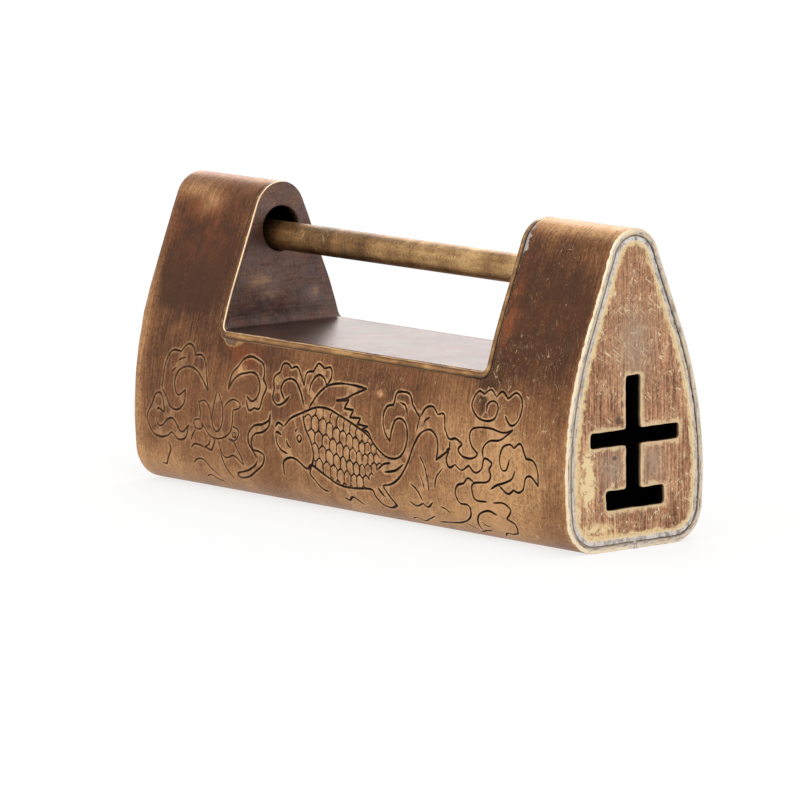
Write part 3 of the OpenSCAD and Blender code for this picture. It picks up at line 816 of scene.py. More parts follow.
def aged_brass_group(hairlines, edge_wear):
    """Browned brass: mottled patina, the streaks of old polishing, bare flecks and arrises."""
    tree, graph, taken, given = node_group(
        "aged_brass",
        {"Vector": "Vector", "Streaks": "Vector", "Rub": "Float", "Red": "Float", "Edge": "Float",
         "Edge Width": "Float", "Scratches": "Float", "Contrast": "Float", "Polish": "Float",
         "Dark": "Color", "Brown": "Color", "Gold": "Color", "Bare": "Color"},
        {"Color": "Color", "Roughness": "Float", "Height": "Float"})
    vector = taken["Vector"]
    broad = graph.noise(vector, 85.0, 3.0, 0.55)
    middle_size = graph.noise(vector, 380.0, 6.0, 0.65)
    fine = graph.noise(vector, 2600.0, 3.0, 0.6)
    streak = graph.noise(graph.stretch(vector, taken["Streaks"]), 1.0, 4.0, 0.65)
    tone = graph.math("ADD", graph.math("MULTIPLY", broad, 0.34), graph.math("MULTIPLY", fine, 0.14))
    tone = graph.math("ADD", tone, graph.math("MULTIPLY", middle_size, 0.26))
    swing = graph.math("MULTIPLY", graph.math("SUBTRACT", streak, 0.5), taken["Contrast"])
    tone = graph.math("ADD", tone, graph.math("MULTIPLY_ADD", swing, 0.5, 0.13))
    # This input lifts the patina towards gold or darkens it; for the case and the lining it carries
    # painted highlight and painted shade as well as wear.
    tone = graph.math("ADD", tone, graph.math("MULTIPLY", taken["Rub"], 0.3))
    colour = graph.mix(graph.blend(tone, 0.34, 0.58), taken["Dark"], taken["Brown"])
    colour = graph.mix(graph.blend(tone, 0.52, 0.86), colour, taken["Gold"])
    red = graph.math("MULTIPLY", taken["Red"], graph.blend(middle_size, 0.36, 0.62))
    colour = graph.mix(graph.math("MULTIPLY", red, 0.75), colour, COPPER_RED)
    grime = graph.math("MULTIPLY", graph.blend(fine, 0.3, 0.5, 1.0, 0.0), 0.35)
    colour = graph.mix(grime, colour, taken["Dark"])
    uneven = graph.math("ADD", graph.math("MULTIPLY", streak, 1.3), graph.math("MULTIPLY", fine, 0.7))
    uneven = graph.math("MULTIPLY", graph.math("SUBTRACT", uneven, 1.0), taken["Contrast"])
    value = graph.math("ADD", uneven, 1.0)
    colour = graph.node("HueSaturation", {"Color": colour, "Value": value}).outputs[0]
    fleck_field = graph.noise(graph.stretch(vector, (2600.0, 1500.0, 1100.0)), 1.0, 2.0, 0.6)
    scuffed = graph.math("MULTIPLY", taken["Scratches"], 0.06)
    fleck = graph.blend(graph.math("ADD", fleck_field, scuffed), 0.72, 0.80)
    grain_field = graph.noise(graph.stretch(vector, (5200.0, 2600.0, 1900.0)), 1.0, 2.0, 0.6)
    grain = graph.blend(graph.math("ADD", grain_field, scuffed), 0.58, 0.76, 0.0, 0.35)
    share = graph.math("MINIMUM", graph.math("ADD", taken["Scratches"], 0.2), 1.0)
    colour = graph.mix(graph.math("MULTIPLY", grain, share), colour, taken["Gold"])
    arris = graph.group(edge_wear, {"Vector": vector, "Distance": taken["Edge"],
                                    "Width": taken["Edge Width"]})["Mask"]
    lines = graph.group(hairlines, {"Vector": vector, "Amount": taken["Scratches"]})["Mask"]
    strength = graph.math("MINIMUM", graph.math("MULTIPLY", taken["Scratches"], 1.2), 0.65)
    bare = graph.math("MAXIMUM", graph.math("MULTIPLY", fleck, strength), lines)
    bare = graph.math("MAXIMUM", bare, arris)
    graph.join(graph.mix(bare, colour, taken["Bare"]), given["Color"])
    rough = graph.math("SUBTRACT", graph.math("MULTIPLY", middle_size, 0.22), taken["Polish"])
    rough = graph.math("ADD", rough, 0.34)
    rough = graph.math("SUBTRACT", rough, graph.math("MULTIPLY", bare, 0.08))
    graph.join(rough, given["Roughness"])
    relief = graph.math("ADD", graph.math("MULTIPLY", streak, 0.6), graph.math("MULTIPLY", fine, 0.35))
    relief = graph.math("ADD", relief, graph.math("MULTIPLY", middle_size, 0.7))
    graph.join(graph.math("SUBTRACT", relief, graph.math("MULTIPLY", lines, 0.4)), given["Height"])
    return tree


aged_brass = aged_brass_group(hairline_group(), edge_wear_group())
BARE = (0.86, 0.62, 0.33, 1)
CASE_TONES = ((0.072, 0.030, 0.015, 1), (0.235, 0.100, 0.042, 1), (0.60, 0.335, 0.150, 1), BARE)


def metal(name, metallic):
    """A new material: its graph and its Principled BSDF."""
    material = bpy.data.materials.new(name)
    material.use_nodes = True
    shader = material.node_tree.nodes["Principled BSDF"]
    shader.inputs["Metallic"].default_value = metallic
    return material, Graph(material.node_tree), shader


def finish_metal(graph, shader, colour, roughness, height, relief):
    """Joins the finish to the shader, its relief as a bump of that many millimetres."""
    graph.join(colour, shader.inputs["Base Color"])
    graph.join(roughness, shader.inputs["Roughness"])
    bump = graph.node("Bump", {"Height": height, "Strength": 1.0, "Distance": relief * MM})
    graph.join(bump.outputs["Normal"], shader.inputs["Normal"])


def brass_finish(graph, tones, settings):
    """The aged brass in four tones, from the darkest patina to the bare metal."""
    shades = dict(zip(("Dark", "Brown", "Gold", "Bare"), tones))
    return graph.group(aged_brass, {"Vector": graph.place(), **settings, **shades})


CORNER_SMEAR = (-0.0267, -0.009, 0.0218)
CORNER_BEND, BEND_REACH = (-0.0252, -0.009, 0.0246), 3.1
SMEAR_GOLD, SMEAR_GREY = (0.60, 0.37, 0.16, 1), (0.19, 0.155, 0.12, 1)
LIP_GOLD = (0.62, 0.36, 0.18, 1)
SOFT_PITCH, PITCH = (0.085, 0.040, 0.020, 1), (0.024, 0.012, 0.007, 1)
TIN_GREY = (0.42, 0.36, 0.32, 1)
RIM_BROWN = (0.30, 0.19, 0.11, 1)
RIM_GOLD = (0.78, 0.60, 0.38, 1)
RIM_GREY = (0.62, 0.57, 0.53, 1)
RIM_CREAM_HIGHLIGHT = (0.93, 0.79, 0.57, 1)
# Near black for the hidden inner faces: dark patina and painted shade of the closed inside.
INSIDE_PATINA_AND_SHADE = (0.03, 0.02, 0.014, 1)


def engraved(graph, ragged, along, colour):
    """Golden lips and dark pitch in the engraved lines, both softer towards the left end."""
    cut = graph.attribute("cut")
    crisp = graph.blend(along, -0.028, -0.012)
    lip = graph.math("MULTIPLY", graph.blend(cut, 0.10, 0.30, 1.0, 0.0),
                     graph.blend(ragged, 0.35, 0.6, 0.2, 0.85))
    lip = graph.math("MULTIPLY", lip, graph.math("MULTIPLY_ADD", crisp, 0.5, 0.5))
    groove = graph.blend(cut, -0.06, 0.035, 1.0, 0.0)
    return graph.mix(groove, graph.mix(lip, colour, LIP_GOLD), graph.mix(crisp, SOFT_PITCH, PITCH))


def corner_smear(graph, vector, ragged, colour):
    """Solder that ran out round the gap's left corner: grey, with a golden edge."""
    away = graph.distance(vector, CORNER_SMEAR, (420.0, 200.0, 420.0))
    bend = graph.distance(vector, CORNER_BEND, (1000.0, 0.0, 1000.0))
    bend = graph.math("ABSOLUTE", graph.math("SUBTRACT", bend, BEND_REACH))
    away = graph.math("MAXIMUM", away, graph.math("MULTIPLY", bend, 1.7))
    away = graph.math("ADD", away, graph.blend(ragged, 0.3, 0.7, -0.25, 0.25))
    halo = graph.math("MULTIPLY", graph.blend(away, 1.2, 1.5, 0.45, 0.0), graph.blend(away, 0.9, 1.0))
    core = graph.math("MULTIPLY", graph.blend(away, 0.6, 1.0, 1.0, 0.0),
                      graph.blend(ragged, 0.35, 0.6, 0.35, 0.8))
    return graph.mix(core, graph.mix(halo, colour, SMEAR_GOLD), SMEAR_GREY)


def rim_streaks(graph):
    """Pale gold, grey and brown, drawn out along the joint round the right end."""
    sockets = {0: graph.math("MULTIPLY", graph.attribute("depth"), 2.2),
               1: graph.math("MULTIPLY", graph.attribute("round"), 0.22)}
    field = graph.node("CombineXYZ", sockets).outputs[0]
    streak = graph.noise(field, 1.6, 5.0, 0.7)
    colour = graph.mix(graph.blend(streak, 0.40, 0.48), RIM_BROWN, RIM_GREY)
    colour = graph.mix(graph.blend(streak, 0.49, 0.56), colour, RIM_GOLD)
    grit = graph.noise(graph.place(), 2400.0, 3.0, 0.6)
    return graph.mix(graph.blend(grit, 0.56, 0.68, 0.0, 0.7), colour, RIM_BROWN)


def right_rim(graph, along, across, ragged, colour):
    """The sheet's edge at the right end, streaked, with its outer arris filed bare and painted paler
    still, a painted highlight line that is stronger on the front.
    """
    end_face = graph.math("MULTIPLY", graph.blend(graph.attribute("depth"), 0.1, 0.22),
                          graph.blend(along, 0.0457, 0.0459))
    colour = graph.mix(end_face, colour, rim_streaks(graph))
    uneven = graph.math("ADD", graph.attribute("edge"), graph.blend(ragged, 0.3, 0.7, -0.08, 0.12))
    # Filed arris and painted highlight: near cream, fading towards the back.
    filed = graph.math("MULTIPLY", graph.blend(uneven, 0.1, 0.26, 0.85, 0.0),
                       graph.blend(along, 0.0453, 0.0456))
    filed = graph.math("MULTIPLY", filed, graph.blend(across, -0.003, 0.003, 1.0, 0.35))
    return graph.mix(filed, colour, RIM_CREAM_HIGHLIGHT)


def case_material():
    """Streaked patina, calmer on the back and along the bottom, with dull arrises at the gap."""
    material, graph, shader = metal("browned_brass_sheet", 0.93)
    vector = graph.place()
    along, across, height = graph.axes(vector)
    # Handling wear together with painted highlights on the ridges, a painted reflection along the bottom
    # and painted shade on the ear flanks.
    rub = graph.attribute("rub")
    dull = graph.math("MULTIPLY", graph.blend(along, -0.036, -0.034),
                      graph.blend(along, 0.0262, 0.0275, 1.0, 0.0))
    contrast = graph.math("MULTIPLY", graph.blend(height, 0.001, 0.010, 0.1, 0.55),
                          graph.blend(across, -0.002, 0.003, 1.0, 0.5))
    finish = brass_finish(graph, CASE_TONES, {
        "Streaks": (4600.0, 60.0, 230.0), "Rub": rub, "Red": graph.attribute("red"),
        "Edge": graph.math("ADD", graph.attribute("edge"), dull),
        "Edge Width": graph.blend(rub, -0.4, 0.6, 0.07, 0.15),
        "Scratches": graph.attribute("scuff"), "Contrast": contrast})
    ragged = graph.noise(vector, 900.0, 3.0, 0.6)
    colour = engraved(graph, ragged, along, finish["Color"])
    tin = graph.math("MULTIPLY", graph.attribute("tin"), graph.blend(ragged, 0.35, 0.6))
    colour = graph.mix(graph.blend(tin, 0.25, 0.5), colour, TIN_GREY)
    colour = corner_smear(graph, vector, ragged, colour)
    colour = right_rim(graph, along, across, ragged, colour)
    # Hidden inner face: dark patina and painted shade, near black.
    colour = graph.mix(graph.attribute("inside"), colour, INSIDE_PATINA_AND_SHADE)
    finish_metal(graph, shader, colour, finish["Roughness"], finish["Height"], 0.03)
    return material


case_sheet = wrapped_case()
case_sheet.data.materials.append(case_material())
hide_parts("case_shell")
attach(case_sheet, "case")


# ---- Lining of the shackle gap -------------------------------------------------------------
# A strip of the same sheet folded into a U: two ear walls, each drilled for the bar, and the
# gap's floor. It is soldered into the notch and dressed flush, so its edge shows as a rim.
LINING_ARRIS = 0.22
HOLE_R = 3.1
LEFT_HOLE_DROP, RIGHT_HOLE_DROP = 6.5, 7.0
wall_height = CASE_TOP - FLOOR_Z - BEND_R
left_bend = arc((BEND_R - GAP_HALF, FLOOR_Z + BEND_R), BEND_R, 180, 270, 8)
right_bend = arc((GAP_HALF - BEND_R, FLOOR_Z + BEND_R), BEND_R, 270, 360, 8)
route = np.vstack([(-GAP_HALF, CASE_TOP), left_bend, right_bend, (GAP_HALF, CASE_TOP)])
route_run = np.r_[0, np.cumsum(np.linalg.norm(np.diff(route, axis=0), axis=1))]
bend_way = unit((BEND_R - GAP_HALF, FLOOR_Z + BEND_R) - left_bend)
route_normal = np.vstack([(1, 0), bend_way, bend_way[::-1] * (-1, 1), (-1, 0)])


def on_lining(along, y, depth):
    """The point at a length along the U and at y, that deep under the side that faces the gap."""
    x, z = (np.interp(along, route_run, route[:, k]) for k in (0, 1))
    way_x, way_z = (np.interp(along, route_run, route_normal[:, k]) for k in (0, 1))
    sunk = z - depth * way_z
    width = np.clip(half_width(z), 0.01, None)
    y = np.where(way_z > 0.01, y * half_width(sunk) / width, y)
    return np.column_stack([x - depth * way_x, y, sunk])


def lining_wear_and_light(points):
    near_front = np.exp(-((points[:, 1] + half_width(points[:, 2])) / 1.6) ** 2)
    # Painted shade: the left wall darkens towards its corner with the gap's floor.
    corner_shade = np.exp(-((points[:, 0] + 28) / 3) ** 2) * np.exp(-((points[:, 2] - 25) / 4) ** 2)
    top = np.exp(-((points[:, 2] - 40) / 2.5) ** 2)
    left_wall = points[:, 0] < -GAP_HALF + 0.6
    left_arris = near_front * left_wall
    blotch = np.exp(-((points[:, 1] + 3.5) / 2.2) ** 2 - ((points[:, 2] - 29) / 0.8) ** 2)
    blotch += 0.8 * np.exp(-((points[:, 1] + 2) / 1.4) ** 2 - ((points[:, 2] - 27) / 0.6) ** 2)
    blotch += 0.9 * np.exp(-((points[:, 1] - 6) / 1.0) ** 2 - ((points[:, 2] - 26.5) / 1.0) ** 2)
    # The first number is wear in the blotches and painted shade in the corner, and it is lighter near the
    # front edge and towards the top.
    return {
        "rub": 0.15 * near_front - 0.2 * corner_shade + 0.2 * top + 1.1 * blotch * left_wall,
        "glint": left_arris,
        "tin": patches(points, TINNED),
    }


def folded_lining():
    rise = outline[(outline[:, 1] > FLOOR_Z + BEND_R)][::-1]
    wall = rise[:: max(1, len(rise) // 60)]
    down = np.column_stack([CASE_TOP - wall[:, 1], wall[:, 0]])
    across = np.linspace(wall_height, route_run[-1] - wall_height, 260)
    level = np.column_stack([across, half_width(np.interp(across, route_run, route[:, 1]))])
    up_again = np.column_stack([route_run[-1] - down[::-1, 0], down[::-1, 1]])
    back_side = np.vstack([down, level, up_again])
    steps = np.r_[True, np.linalg.norm(np.diff(back_side, axis=0), axis=1) > 0.05]
    back_side = back_side[steps]
    rim = np.vstack([back_side * (1, -1), back_side[-2:0:-1]])
    holes = [
        arc((LEFT_HOLE_DROP, 0), HOLE_R, 360, 0, 56)[:-1],
        arc((route_run[-1] - RIGHT_HOLE_DROP, 0), HOLE_R, 360, 0, 56)[:-1],
    ]
    return make_sheet("gap_lining", [stepped(rim, 0.4), *holes], on_lining, SHEET,
                      (LINING_ARRIS,) * 3, 0.9, fields=lining_wear_and_light)


# The same sheet as the case, darker and greyer here as painted shade in the narrow gap.
SHADED_LINING_TONES = ((0.050, 0.030, 0.026, 1), (0.145, 0.088, 0.072, 1), (0.42, 0.25, 0.12, 1),
                (0.66, 0.43, 0.20, 1))
CLOUDED = (0.17, 0.125, 0.118, 1)
LIP_BROWN, LIP_WORN = (0.20, 0.085, 0.034, 1), (0.37, 0.190, 0.070, 1)
EAR_BROWN = (0.16, 0.065, 0.028, 1)
LIP_DIRT, LIP_BRIGHT = (0.12, 0.055, 0.026, 1), (0.62, 0.36, 0.145, 1)
GLINT = (0.90, 0.68, 0.40, 1)
DARK_TIN = (0.23, 0.21, 0.19, 1)


def lining_rim(graph, vector, depth):
    """The strip's cut edge: brown at the solder, golden at the gap, dirty in places."""
    tone = graph.mix(graph.blend(depth, 0.28, 0.5), LIP_BROWN, LIP_WORN)
    tone = graph.mix(graph.attribute("glint"), tone, EAR_BROWN)
    patchy = graph.noise(graph.stretch(vector, (300.0, 900.0, 900.0)), 1.0, 4.0, 0.6)
    tone = graph.mix(graph.blend(patchy, 0.35, 0.55, 0.6, 0.0), tone, LIP_DIRT)
    return graph.mix(graph.blend(patchy, 0.52, 0.66, 0.0, 0.6), tone, LIP_BRIGHT)


def lining_material():
    material, graph, shader = metal("dark_brass_lining", 0.85)
    vector = graph.place()
    depth, edge, glint = (graph.attribute(name) for name in ("depth", "edge", "glint"))
    finish = brass_finish(graph, SHADED_LINING_TONES, {
        "Streaks": (250.0, 250.0, 3000.0), "Rub": graph.attribute("rub"), "Red": 0.25,
        "Edge": edge, "Edge Width": 0.05, "Scratches": 0.25, "Contrast": 0.4, "Polish": 0.12})
    cloud = graph.blend(graph.noise(vector, 200.0, 5.0, 0.65), 0.42, 0.65)
    colour = graph.mix(graph.math("MULTIPLY", cloud, 0.4), finish["Color"], CLOUDED)
    rim = graph.math("MULTIPLY", graph.blend(depth, 0.16, 0.24), graph.blend(depth, 0.99, 1.0, 1.0, 0.0))
    colour = graph.mix(rim, colour, lining_rim(graph, vector, depth))
    near_arris = graph.math("MULTIPLY", graph.blend(edge, 0.04, 0.13, 1.0, 0.0),
                            graph.blend(depth, 0.15, 0.26, 1.0, 0.0))
    colour = graph.mix(graph.math("MULTIPLY", near_arris, glint), colour, GLINT)
    tin = graph.math("MULTIPLY", graph.attribute("tin"), graph.noise(vector, 800.0, 3.0, 0.6))
    colour = graph.mix(graph.blend(tin, 0.2, 0.5), colour, DARK_TIN)
    # Hidden back face: dark patina and painted shade, near black.
    colour = graph.mix(graph.attribute("inside"), colour, INSIDE_PATINA_AND_SHADE)
    finish_metal(graph, shader, colour, finish["Roughness"], finish["Height"], 0.035)
    return material


gap_lining = folded_lining()
gap_lining.data.materials.append(lining_material())
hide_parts("notch_lining")
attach(gap_lining, "case")


# ---- Solder -------------------------------------------------------------------------------
# Soft grey solder holds the lining in the notch, the keyhole plate in the right end and the two edges of
# the sheet together. Along the notch it has shrunk a little and gone brown, and where it has sunk at the
# right its line is painted near black as the shade in the joint.
BEAD_HALF = 0.3
BEAD_DEEP, BEAD_SHOWN = 0.9, 0.14
RING_OUTER, RING_INNER = 1.0, 1.85
RING_ROWS = 8
PLATE_T = 1.6
SOLDER_DULL, SOLDER_GREY, SOLDER_GILT = (0.30, 0.26, 0.24, 1), (0.74, 0.69, 0.66, 1), (0.66, 0.52, 0.34, 1)
SOLDER_PIT, RING_GOLD = (0.09, 0.065, 0.05, 1), (0.84, 0.66, 0.40, 1)
# Near black is painted shade in the sunk joint; the grey is the solder's own.
SEAM_SHADE, SEAM_GREY = (0.012, 0.009, 0.008, 1), (0.30, 0.24, 0.18, 1)
SEAM_BROWN, SEAM_GOLD = (0.15, 0.062, 0.027, 1), (0.34, 0.17, 0.07, 1)


def band_mesh(name, rows, fields=None):
    """A closed band from rows of points that run round it, the last row joined to the first."""
    count, faces = len(rows[0]), []
    for i in range(len(rows)):
        here, there = i * count, (i + 1) % len(rows) * count
        for k in range(count):
            after = (k + 1) % count
            faces.append((here + k, here + after, there + after, there + k))
    points = np.vstack(rows)
    return build(name, points, faces, fields or {})


def seam_bead(name):
    """The bead in the joint between the notch and the lining: a closed band along the notch."""
    middle_line = notch_loop(SEAM_GAP / 2, BEND_R + SHEET, BEND_R + SHEET)
    normal = left_normals(middle_line)
    fuller_left = np.clip((middle_line[:, 0] + 30) / 60, 0.15, 1)
    rows = []
    for side, depth in ((1, BEAD_SHOWN), (1, BEAD_DEEP), (-1, BEAD_DEEP), (-1, BEAD_SHOWN)):
        band = middle_line + normal * side * BEAD_HALF
        sunk = depth + 0.02 * waver(middle_line, 3.0, 5)
        if depth == BEAD_SHOWN:
            sunk = sunk * fuller_left
        rows.append(on_case(band[:, 0], band[:, 1], sunk))
    return band_mesh(name, rows)


def plate_ring(name):
    """The ring of solder round the keyhole plate, lumpy and slightly sunk."""
    girths = np.linspace(0, 2 * GIRTH, 560, endpoint=False)
    rows = []
    for share in np.linspace(0, 1, RING_ROWS):
        inset = RING_OUTER + share * (RING_INNER - RING_OUTER)
        sunk = 0.01 + 0.1 * (share - 0.45) ** 2
        points = on_case(CASE_END - sunk, girths, inset)
        lumps = waver(points[:, 1:], 1.1, 11 + int(share * 7)) + waver(points[:, 1:], 0.5, 40)
        points[:, 0] -= np.clip(0.03 + 0.04 * lumps, 0, 0.2)
        rows.append(points)
    for inset in (RING_INNER, RING_OUTER):
        rows.append(on_case(CASE_END - PLATE_T, girths, inset))
    shares = np.r_[np.linspace(0, 1, RING_ROWS), 1, 0]
    depth = np.repeat(RING_OUTER + shares * (RING_INNER - RING_OUTER), len(girths))
    flanks = np.exp(-((np.vstack(rows)[:, 2] - 19) / 15) ** 4)
    fields = {"depth": depth, "thin": flanks, "round": np.tile(girths, len(rows))}
    return band_mesh(name, rows, fields)


def solder_material():
    """Grey solder. Where it is thin, its outer part is smeared over with brown."""
    material, graph, shader = metal("grey_solder", 0.6)
    vector = graph.place()
    coarse = graph.noise(vector, 900.0, 5.0, 0.7)
    fine = graph.noise(vector, 3000.0, 3.0, 0.6)
    colour = graph.mix(graph.blend(coarse, 0.35, 0.58), SOLDER_DULL, SOLDER_GREY)
    colour = graph.mix(graph.blend(fine, 0.6, 0.72), colour, SOLDER_GILT)
    pits = graph.blend(graph.noise(vector, 1600.0, 2.0), 0.28, 0.38, 0.6, 0.0)
    colour = graph.mix(pits, colour, SOLDER_PIT)
    smear = graph.math("MULTIPLY", graph.attribute("thin"), 0.8)
    colour = graph.mix(smear, colour, rim_streaks(graph))
    ragged = graph.math("MULTIPLY", graph.math("SUBTRACT", coarse, 0.5), 0.9)
    inner = graph.blend(graph.math("ADD", graph.attribute("depth"), ragged), 1.5, 1.62, 0.0, 0.9)
    colour = graph.mix(inner, colour, RING_GOLD)
    roughness = graph.blend(coarse, 0.3, 0.7, 0.6, 0.42)
    finish_metal(graph, shader, colour, roughness, graph.math("ADD", coarse, fine), 0.06)
    return material


def seam_material():
    """Brown where the bead stands full; at the right, where it has sunk, painted near black as the shade
    in the joint.
    """
    material, graph, shader = metal("dark_seam", 0.6)
    vector = graph.place()
    along = graph.axes(vector)[0]
    coarse = graph.noise(vector, 700.0, 4.0, 0.6)
    sunken = graph.mix(graph.blend(coarse, 0.52, 0.7), SEAM_SHADE, SEAM_GREY)
    full = graph.mix(graph.blend(along, -0.024, -0.02), SEAM_BROWN, SEAM_GOLD)
    colour = graph.mix(graph.blend(along, 0.022, 0.0275), full, sunken)
    finish_metal(graph, shader, colour, graph.blend(coarse, 0.3, 0.7, 0.7, 0.5), coarse, 0.05)
    return material


solder = solder_material()
notch_seam = seam_bead("notch_seam_solder")
notch_seam.data.materials.append(seam_material())
keyhole_ring = plate_ring("keyhole_plate_ring")
keyhole_ring.data.materials.append(solder)
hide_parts("keyhole_plate_solder")
for bead in (notch_seam, keyhole_ring):
    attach(bead, "case")


def dress(node, material):
    """Gives a carried-over piece its finish in place of the plain one."""
    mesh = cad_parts[node].data
    mesh.materials.clear()
    mesh.materials.append(material)


dress("bottom_seam_solder", solder)


# ---- Keyhole plate --------------------------------------------------------------------------
# A brass plate soldered into the right end and filed level. The keyhole is sawn and filed
# through it: two crossbars joined by an upright stroke, with a bright burr left all round.
LONG_BAR = (7.7, 14.0, 16.0)
SHORT_BAR = (5.05, 5.55, 8.05)
STROKE_LEFT, STROKE_RIGHT, STROKE_TOP = -1.55, 0.95, 23.1
KEYHOLE_R = 0.45
PLATE_ARRIS = 0.08


def filleted(corners, radius, steps=4):
    """A closed outline with every corner rounded by the same radius."""
    corners = np.array(corners, float)
    parts = []
    for before, corner, after in zip(np.roll(corners, 1, 0), corners, np.roll(corners, -1, 0)):
        start = corner + unit(before - corner) * radius
        end = corner + unit(after - corner) * radius
        t = np.linspace(0, 1, steps + 1)[:, None]
        parts.append((1 - t) ** 2 * start + 2 * t * (1 - t) * corner + t**2 * end)
    return np.vstack(parts)


def keyhole_outline():
    long_half, long_low, long_high = LONG_BAR
    short_half, short_low, short_high = SHORT_BAR
    corners = [
        (-short_half, short_low), (short_half, short_low), (short_half, short_high),
        (STROKE_RIGHT, short_high), (STROKE_RIGHT, long_low), (long_half, long_low),
        (long_half, long_high), (STROKE_RIGHT, long_high), (STROKE_RIGHT, STROKE_TOP),
        (STROKE_LEFT, STROKE_TOP), (STROKE_LEFT, long_high), (-long_half, long_high),
        (-long_half, long_low), (STROKE_LEFT, long_low), (STROKE_LEFT, short_high),
        (-short_half, short_high),
    ]
    sawn = stepped(filleted(corners, KEYHOLE_R), 0.3)
    return sawn + left_normals(sawn) * -0.05 * (1 + waver(sawn, 2.2, 21))[:, None]


def on_plate(y, z, depth):
    return np.column_stack([CASE_END - depth, y, z])


def section_loop(inset, step=0.35):
    """The case's section set in by some width, as a closed outline in y and z."""
    girths = np.arange(0, 2 * GIRTH, step)
    return on_case(0, girths, inset)[:, 1:]


def plate_wear(points):
    y, z = points[:, 1], points[:, 2]
    rim = outline_distance(points[:, 1:], [section_loop(RING_INNER)])
    hole = outline_distance(points[:, 1:], [keyhole_outline()])
    left_patch = np.exp(-((y + 8.3) / 1.5) ** 2 - ((z - 10) / 4.5) ** 2)
    low_patch = np.exp(-((y + 6) / 4) ** 2 - ((z - 3.2) / 1.0) ** 2)
    stain = np.exp(-((y + 2.9) / 0.8) ** 2 - ((z - 17.3) / 0.8) ** 2)
    stain += np.exp(-((y + 3.6) / 0.6) ** 2 - ((z - 12.4) / 0.5) ** 2)
    grey = np.exp(-((y + 4) / 2.4) ** 2 - ((z - 11) / 2.4) ** 2)
    grey += np.exp(-((y - 3) / 2.0) ** 2 - ((z - 11) / 2.4) ** 2)
    grey += np.exp(-(y / 3.0) ** 2 - ((z - 27) / 4.5) ** 2)
    scuff = 0.6 + 0.9 * np.exp(-(y / 6) ** 2 - ((z - 28) / 7) ** 2)
    scuff += 0.4 * np.exp(-((z - 5) / 4) ** 2)
    return {"rim": rim, "hole": hole, "rub": left_patch + 0.6 * low_patch, "stain": stain,
            "grey": grey, "scuff": scuff}


def pierced_plate():
    keyhole = keyhole_outline()
    return make_sheet("pierced_plate", [section_loop(RING_INNER), keyhole[::-1]], on_plate,
                      PLATE_T, (PLATE_ARRIS, PLATE_ARRIS), 0.55, fields=plate_wear)


PLATE_TONES = ((0.20, 0.085, 0.046, 1), (0.48, 0.250, 0.140, 1), (0.78, 0.54, 0.27, 1),
               (0.98, 0.82, 0.52, 1))
PLATE_GREY = (0.42, 0.31, 0.22, 1)
BORDER_GOLD, BURR_GOLD, PATCH_GOLD = (0.86, 0.66, 0.36, 1), (0.80, 0.61, 0.36, 1), (0.82, 0.64, 0.36, 1)
STAIN = (0.10, 0.065, 0.045, 1)
# Painted shade: near black for the keyhole's sawn walls, the plate's edge and its hidden back.
KEYHOLE_SHADE = (0.012, 0.008, 0.006, 1)


def plate_material():
    """Reddish patina with upright file marks, and bare brass at the border and the keyhole."""
    material, graph, shader = metal("filed_brass_plate", 0.8)
    vector = graph.place()
    height = graph.axes(vector)[2]
    finish = brass_finish(graph, PLATE_TONES, {
        "Streaks": (150.0, 3400.0, 170.0), "Rub": graph.attribute("rub"), "Red": 0.15,
        "Edge": 3.0, "Edge Width": 0.1, "Scratches": graph.attribute("scuff"),
        "Contrast": graph.blend(height, 0.016, 0.034, 1.4, 0.9)})
    ragged = graph.noise(vector, 800.0, 4.0, 0.7)
    grey = graph.math("MULTIPLY", graph.attribute("grey"), graph.blend(ragged, 0.3, 0.6, 0.3, 0.8))
    colour = graph.mix(grey, finish["Color"], PLATE_GREY)
    filed = graph.math("ADD", graph.attribute("rim"), graph.blend(ragged, 0.3, 0.7, -0.3, 0.3))
    broken = graph.blend(graph.noise(vector, 2200.0), 0.3, 0.55, 0.55, 1.0)
    border = graph.math("MULTIPLY", graph.blend(filed, 0.25, 0.6, 0.85, 0.0), broken)
    colour = graph.mix(border, colour, BORDER_GOLD)
    near = graph.math("ADD", graph.attribute("hole"), graph.blend(ragged, 0.3, 0.7, -0.35, 0.35))
    colour = graph.mix(graph.blend(near, 0.15, 0.8, 0.75, 0.0), colour, BURR_GOLD)
    worn = graph.math("MULTIPLY", graph.attribute("rub"), graph.blend(ragged, 0.38, 0.55))
    colour = graph.mix(graph.blend(worn, 0.25, 0.6), colour, PATCH_GOLD)
    stain = graph.blend(graph.attribute("stain"), 0.35, 0.8, 0.0, 0.8)
    colour = graph.mix(stain, colour, STAIN)
    # Painted shade: the keyhole's walls, the plate's edge and its back go near black.
    wall = graph.blend(graph.attribute("depth"), 0.2, 0.55)
    colour = graph.mix(wall, colour, KEYHOLE_SHADE)
    finish_metal(graph, shader, colour, finish["Roughness"], finish["Height"], 0.05)
    return material


pierced = pierced_plate()
pierced.data.materials.append(plate_material())
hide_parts("keyhole_plate")
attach(pierced, "case")


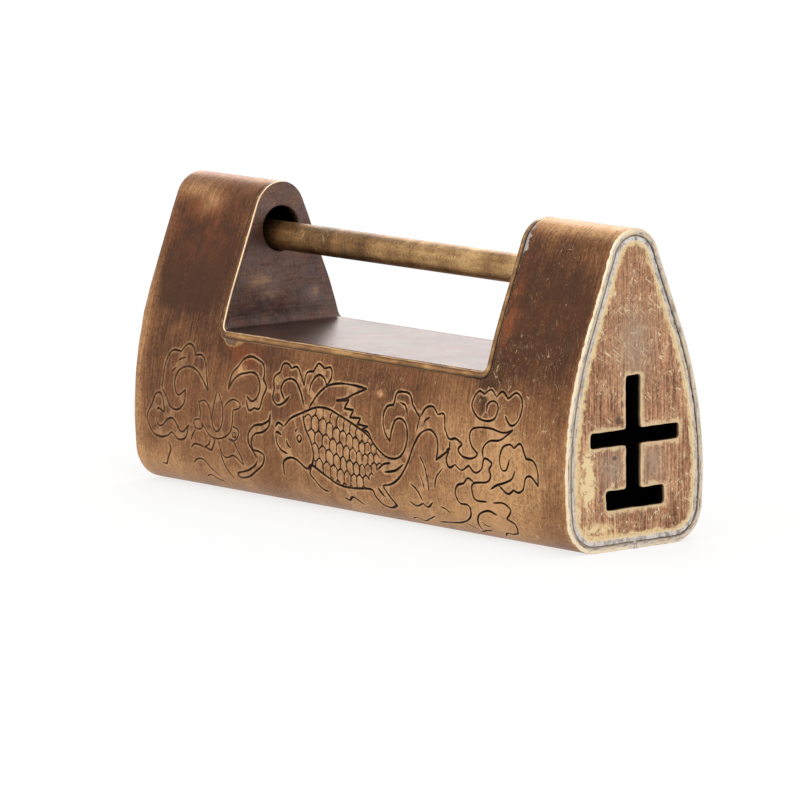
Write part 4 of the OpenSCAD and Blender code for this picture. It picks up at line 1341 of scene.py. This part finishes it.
# ---- Bolt: end plate, bar, stems and springs ----------------------------------------------
# The part that slides: a brass plate closes the left end, and the bar and two spring stems
# are riveted into it. The bar is polished by use, the rest is plain brass gone dull.
END_CLEAR = 0.3
END_PLATE_T = 2.0
END_ARRIS = 0.3
TENON_R = 0.9
BAR_Z, STEM_Z, STEM_Y = 35.0, 11.0, 3.3
NO_EDGE = 3.0
END_TONES = ((0.10, 0.050, 0.028, 1), (0.27, 0.140, 0.068, 1), (0.54, 0.33, 0.16, 1), BARE)
BAR_TONES = ((0.095, 0.048, 0.018, 1), (0.25, 0.128, 0.048, 1), (0.56, 0.35, 0.15, 1), BARE)
INNER_TONES = ((0.12, 0.070, 0.034, 1), (0.30, 0.190, 0.085, 1), (0.60, 0.43, 0.20, 1), BARE)
SPRING_TONES = ((0.20, 0.125, 0.050, 1), (0.46, 0.31, 0.13, 1), (0.72, 0.54, 0.26, 1), BARE)


def on_end_plate(y, z, depth):
    return np.column_stack([depth - CASE_END, y, z])


def sliding_plate():
    tenons = [arc(centre, TENON_R, 360, 0, 32)[:-1]
              for centre in ((0, BAR_Z), (-STEM_Y, STEM_Z), (STEM_Y, STEM_Z))]
    return make_sheet("sliding_plate", [section_loop(SHEET + END_CLEAR), *tenons], on_end_plate,
                      END_PLATE_T, (END_ARRIS, 0.1, 0.1, 0.1), 0.9)


def dull_brass(name, streaks, tones, worn_edge=False):
    """Plain brass gone dull. Only a plate that has arrises shows them worn."""
    material, graph, shader = metal(name, 0.85)
    finish = brass_finish(graph, tones, {
        "Streaks": streaks, "Rub": 0.1, "Red": 0.2, "Edge Width": 0.15,
        "Edge": graph.attribute("edge") if worn_edge else NO_EDGE,
        "Scratches": 0.45, "Contrast": 0.2})
    finish_metal(graph, shader, finish["Color"], finish["Roughness"], finish["Height"], 0.03)
    return material


def bar_material():
    """Golden brown, mottled, with duller and brighter bands where it rubs in the holes."""
    material, graph, shader = metal("rubbed_brass_bar", 0.9)
    vector = graph.place()
    bands = graph.noise(graph.stretch(vector, (150.0, 60.0, 60.0)), 1.0, 3.0, 0.6)
    rub = graph.blend(bands, 0.35, 0.65, -0.3, 0.4)
    along = graph.axes(vector)[0]
    rub = graph.math("ADD", rub, graph.blend(along, -0.02, 0.024, -0.2, 0.7))
    finish = brass_finish(graph, BAR_TONES, {
        "Streaks": (150.0, 1500.0, 1500.0), "Rub": rub, "Red": 0.0, "Edge": NO_EDGE,
        "Edge Width": 0.1, "Scratches": 0.5, "Contrast": 0.5})
    finish_metal(graph, shader, finish["Color"], finish["Roughness"], finish["Height"], 0.04)
    return material


end_plate = sliding_plate()
plate_brass = dull_brass("dull_brass_plate", (150.0, 150.0, 2600.0), END_TONES, worn_edge=True)
end_plate.data.materials.append(plate_brass)
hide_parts("bolt_end_plate")
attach(end_plate, "bolt")

inner_brass = dull_brass("dull_inner_brass", (260.0, 2000.0, 2000.0), INNER_TONES)
spring_brass = dull_brass("spring_brass", (260.0, 2600.0, 260.0), SPRING_TONES)
dress("shackle_bar", bar_material())
dress("spring_stop_plate", inner_brass)
for side in ("front", "back"):
    dress(f"spring_stem_{side}", inner_brass)
    dress(f"spring_rivet_{side}", inner_brass)
    for place in ("top", "bottom"):
        dress(f"leaf_spring_{side}_{place}", spring_brass)
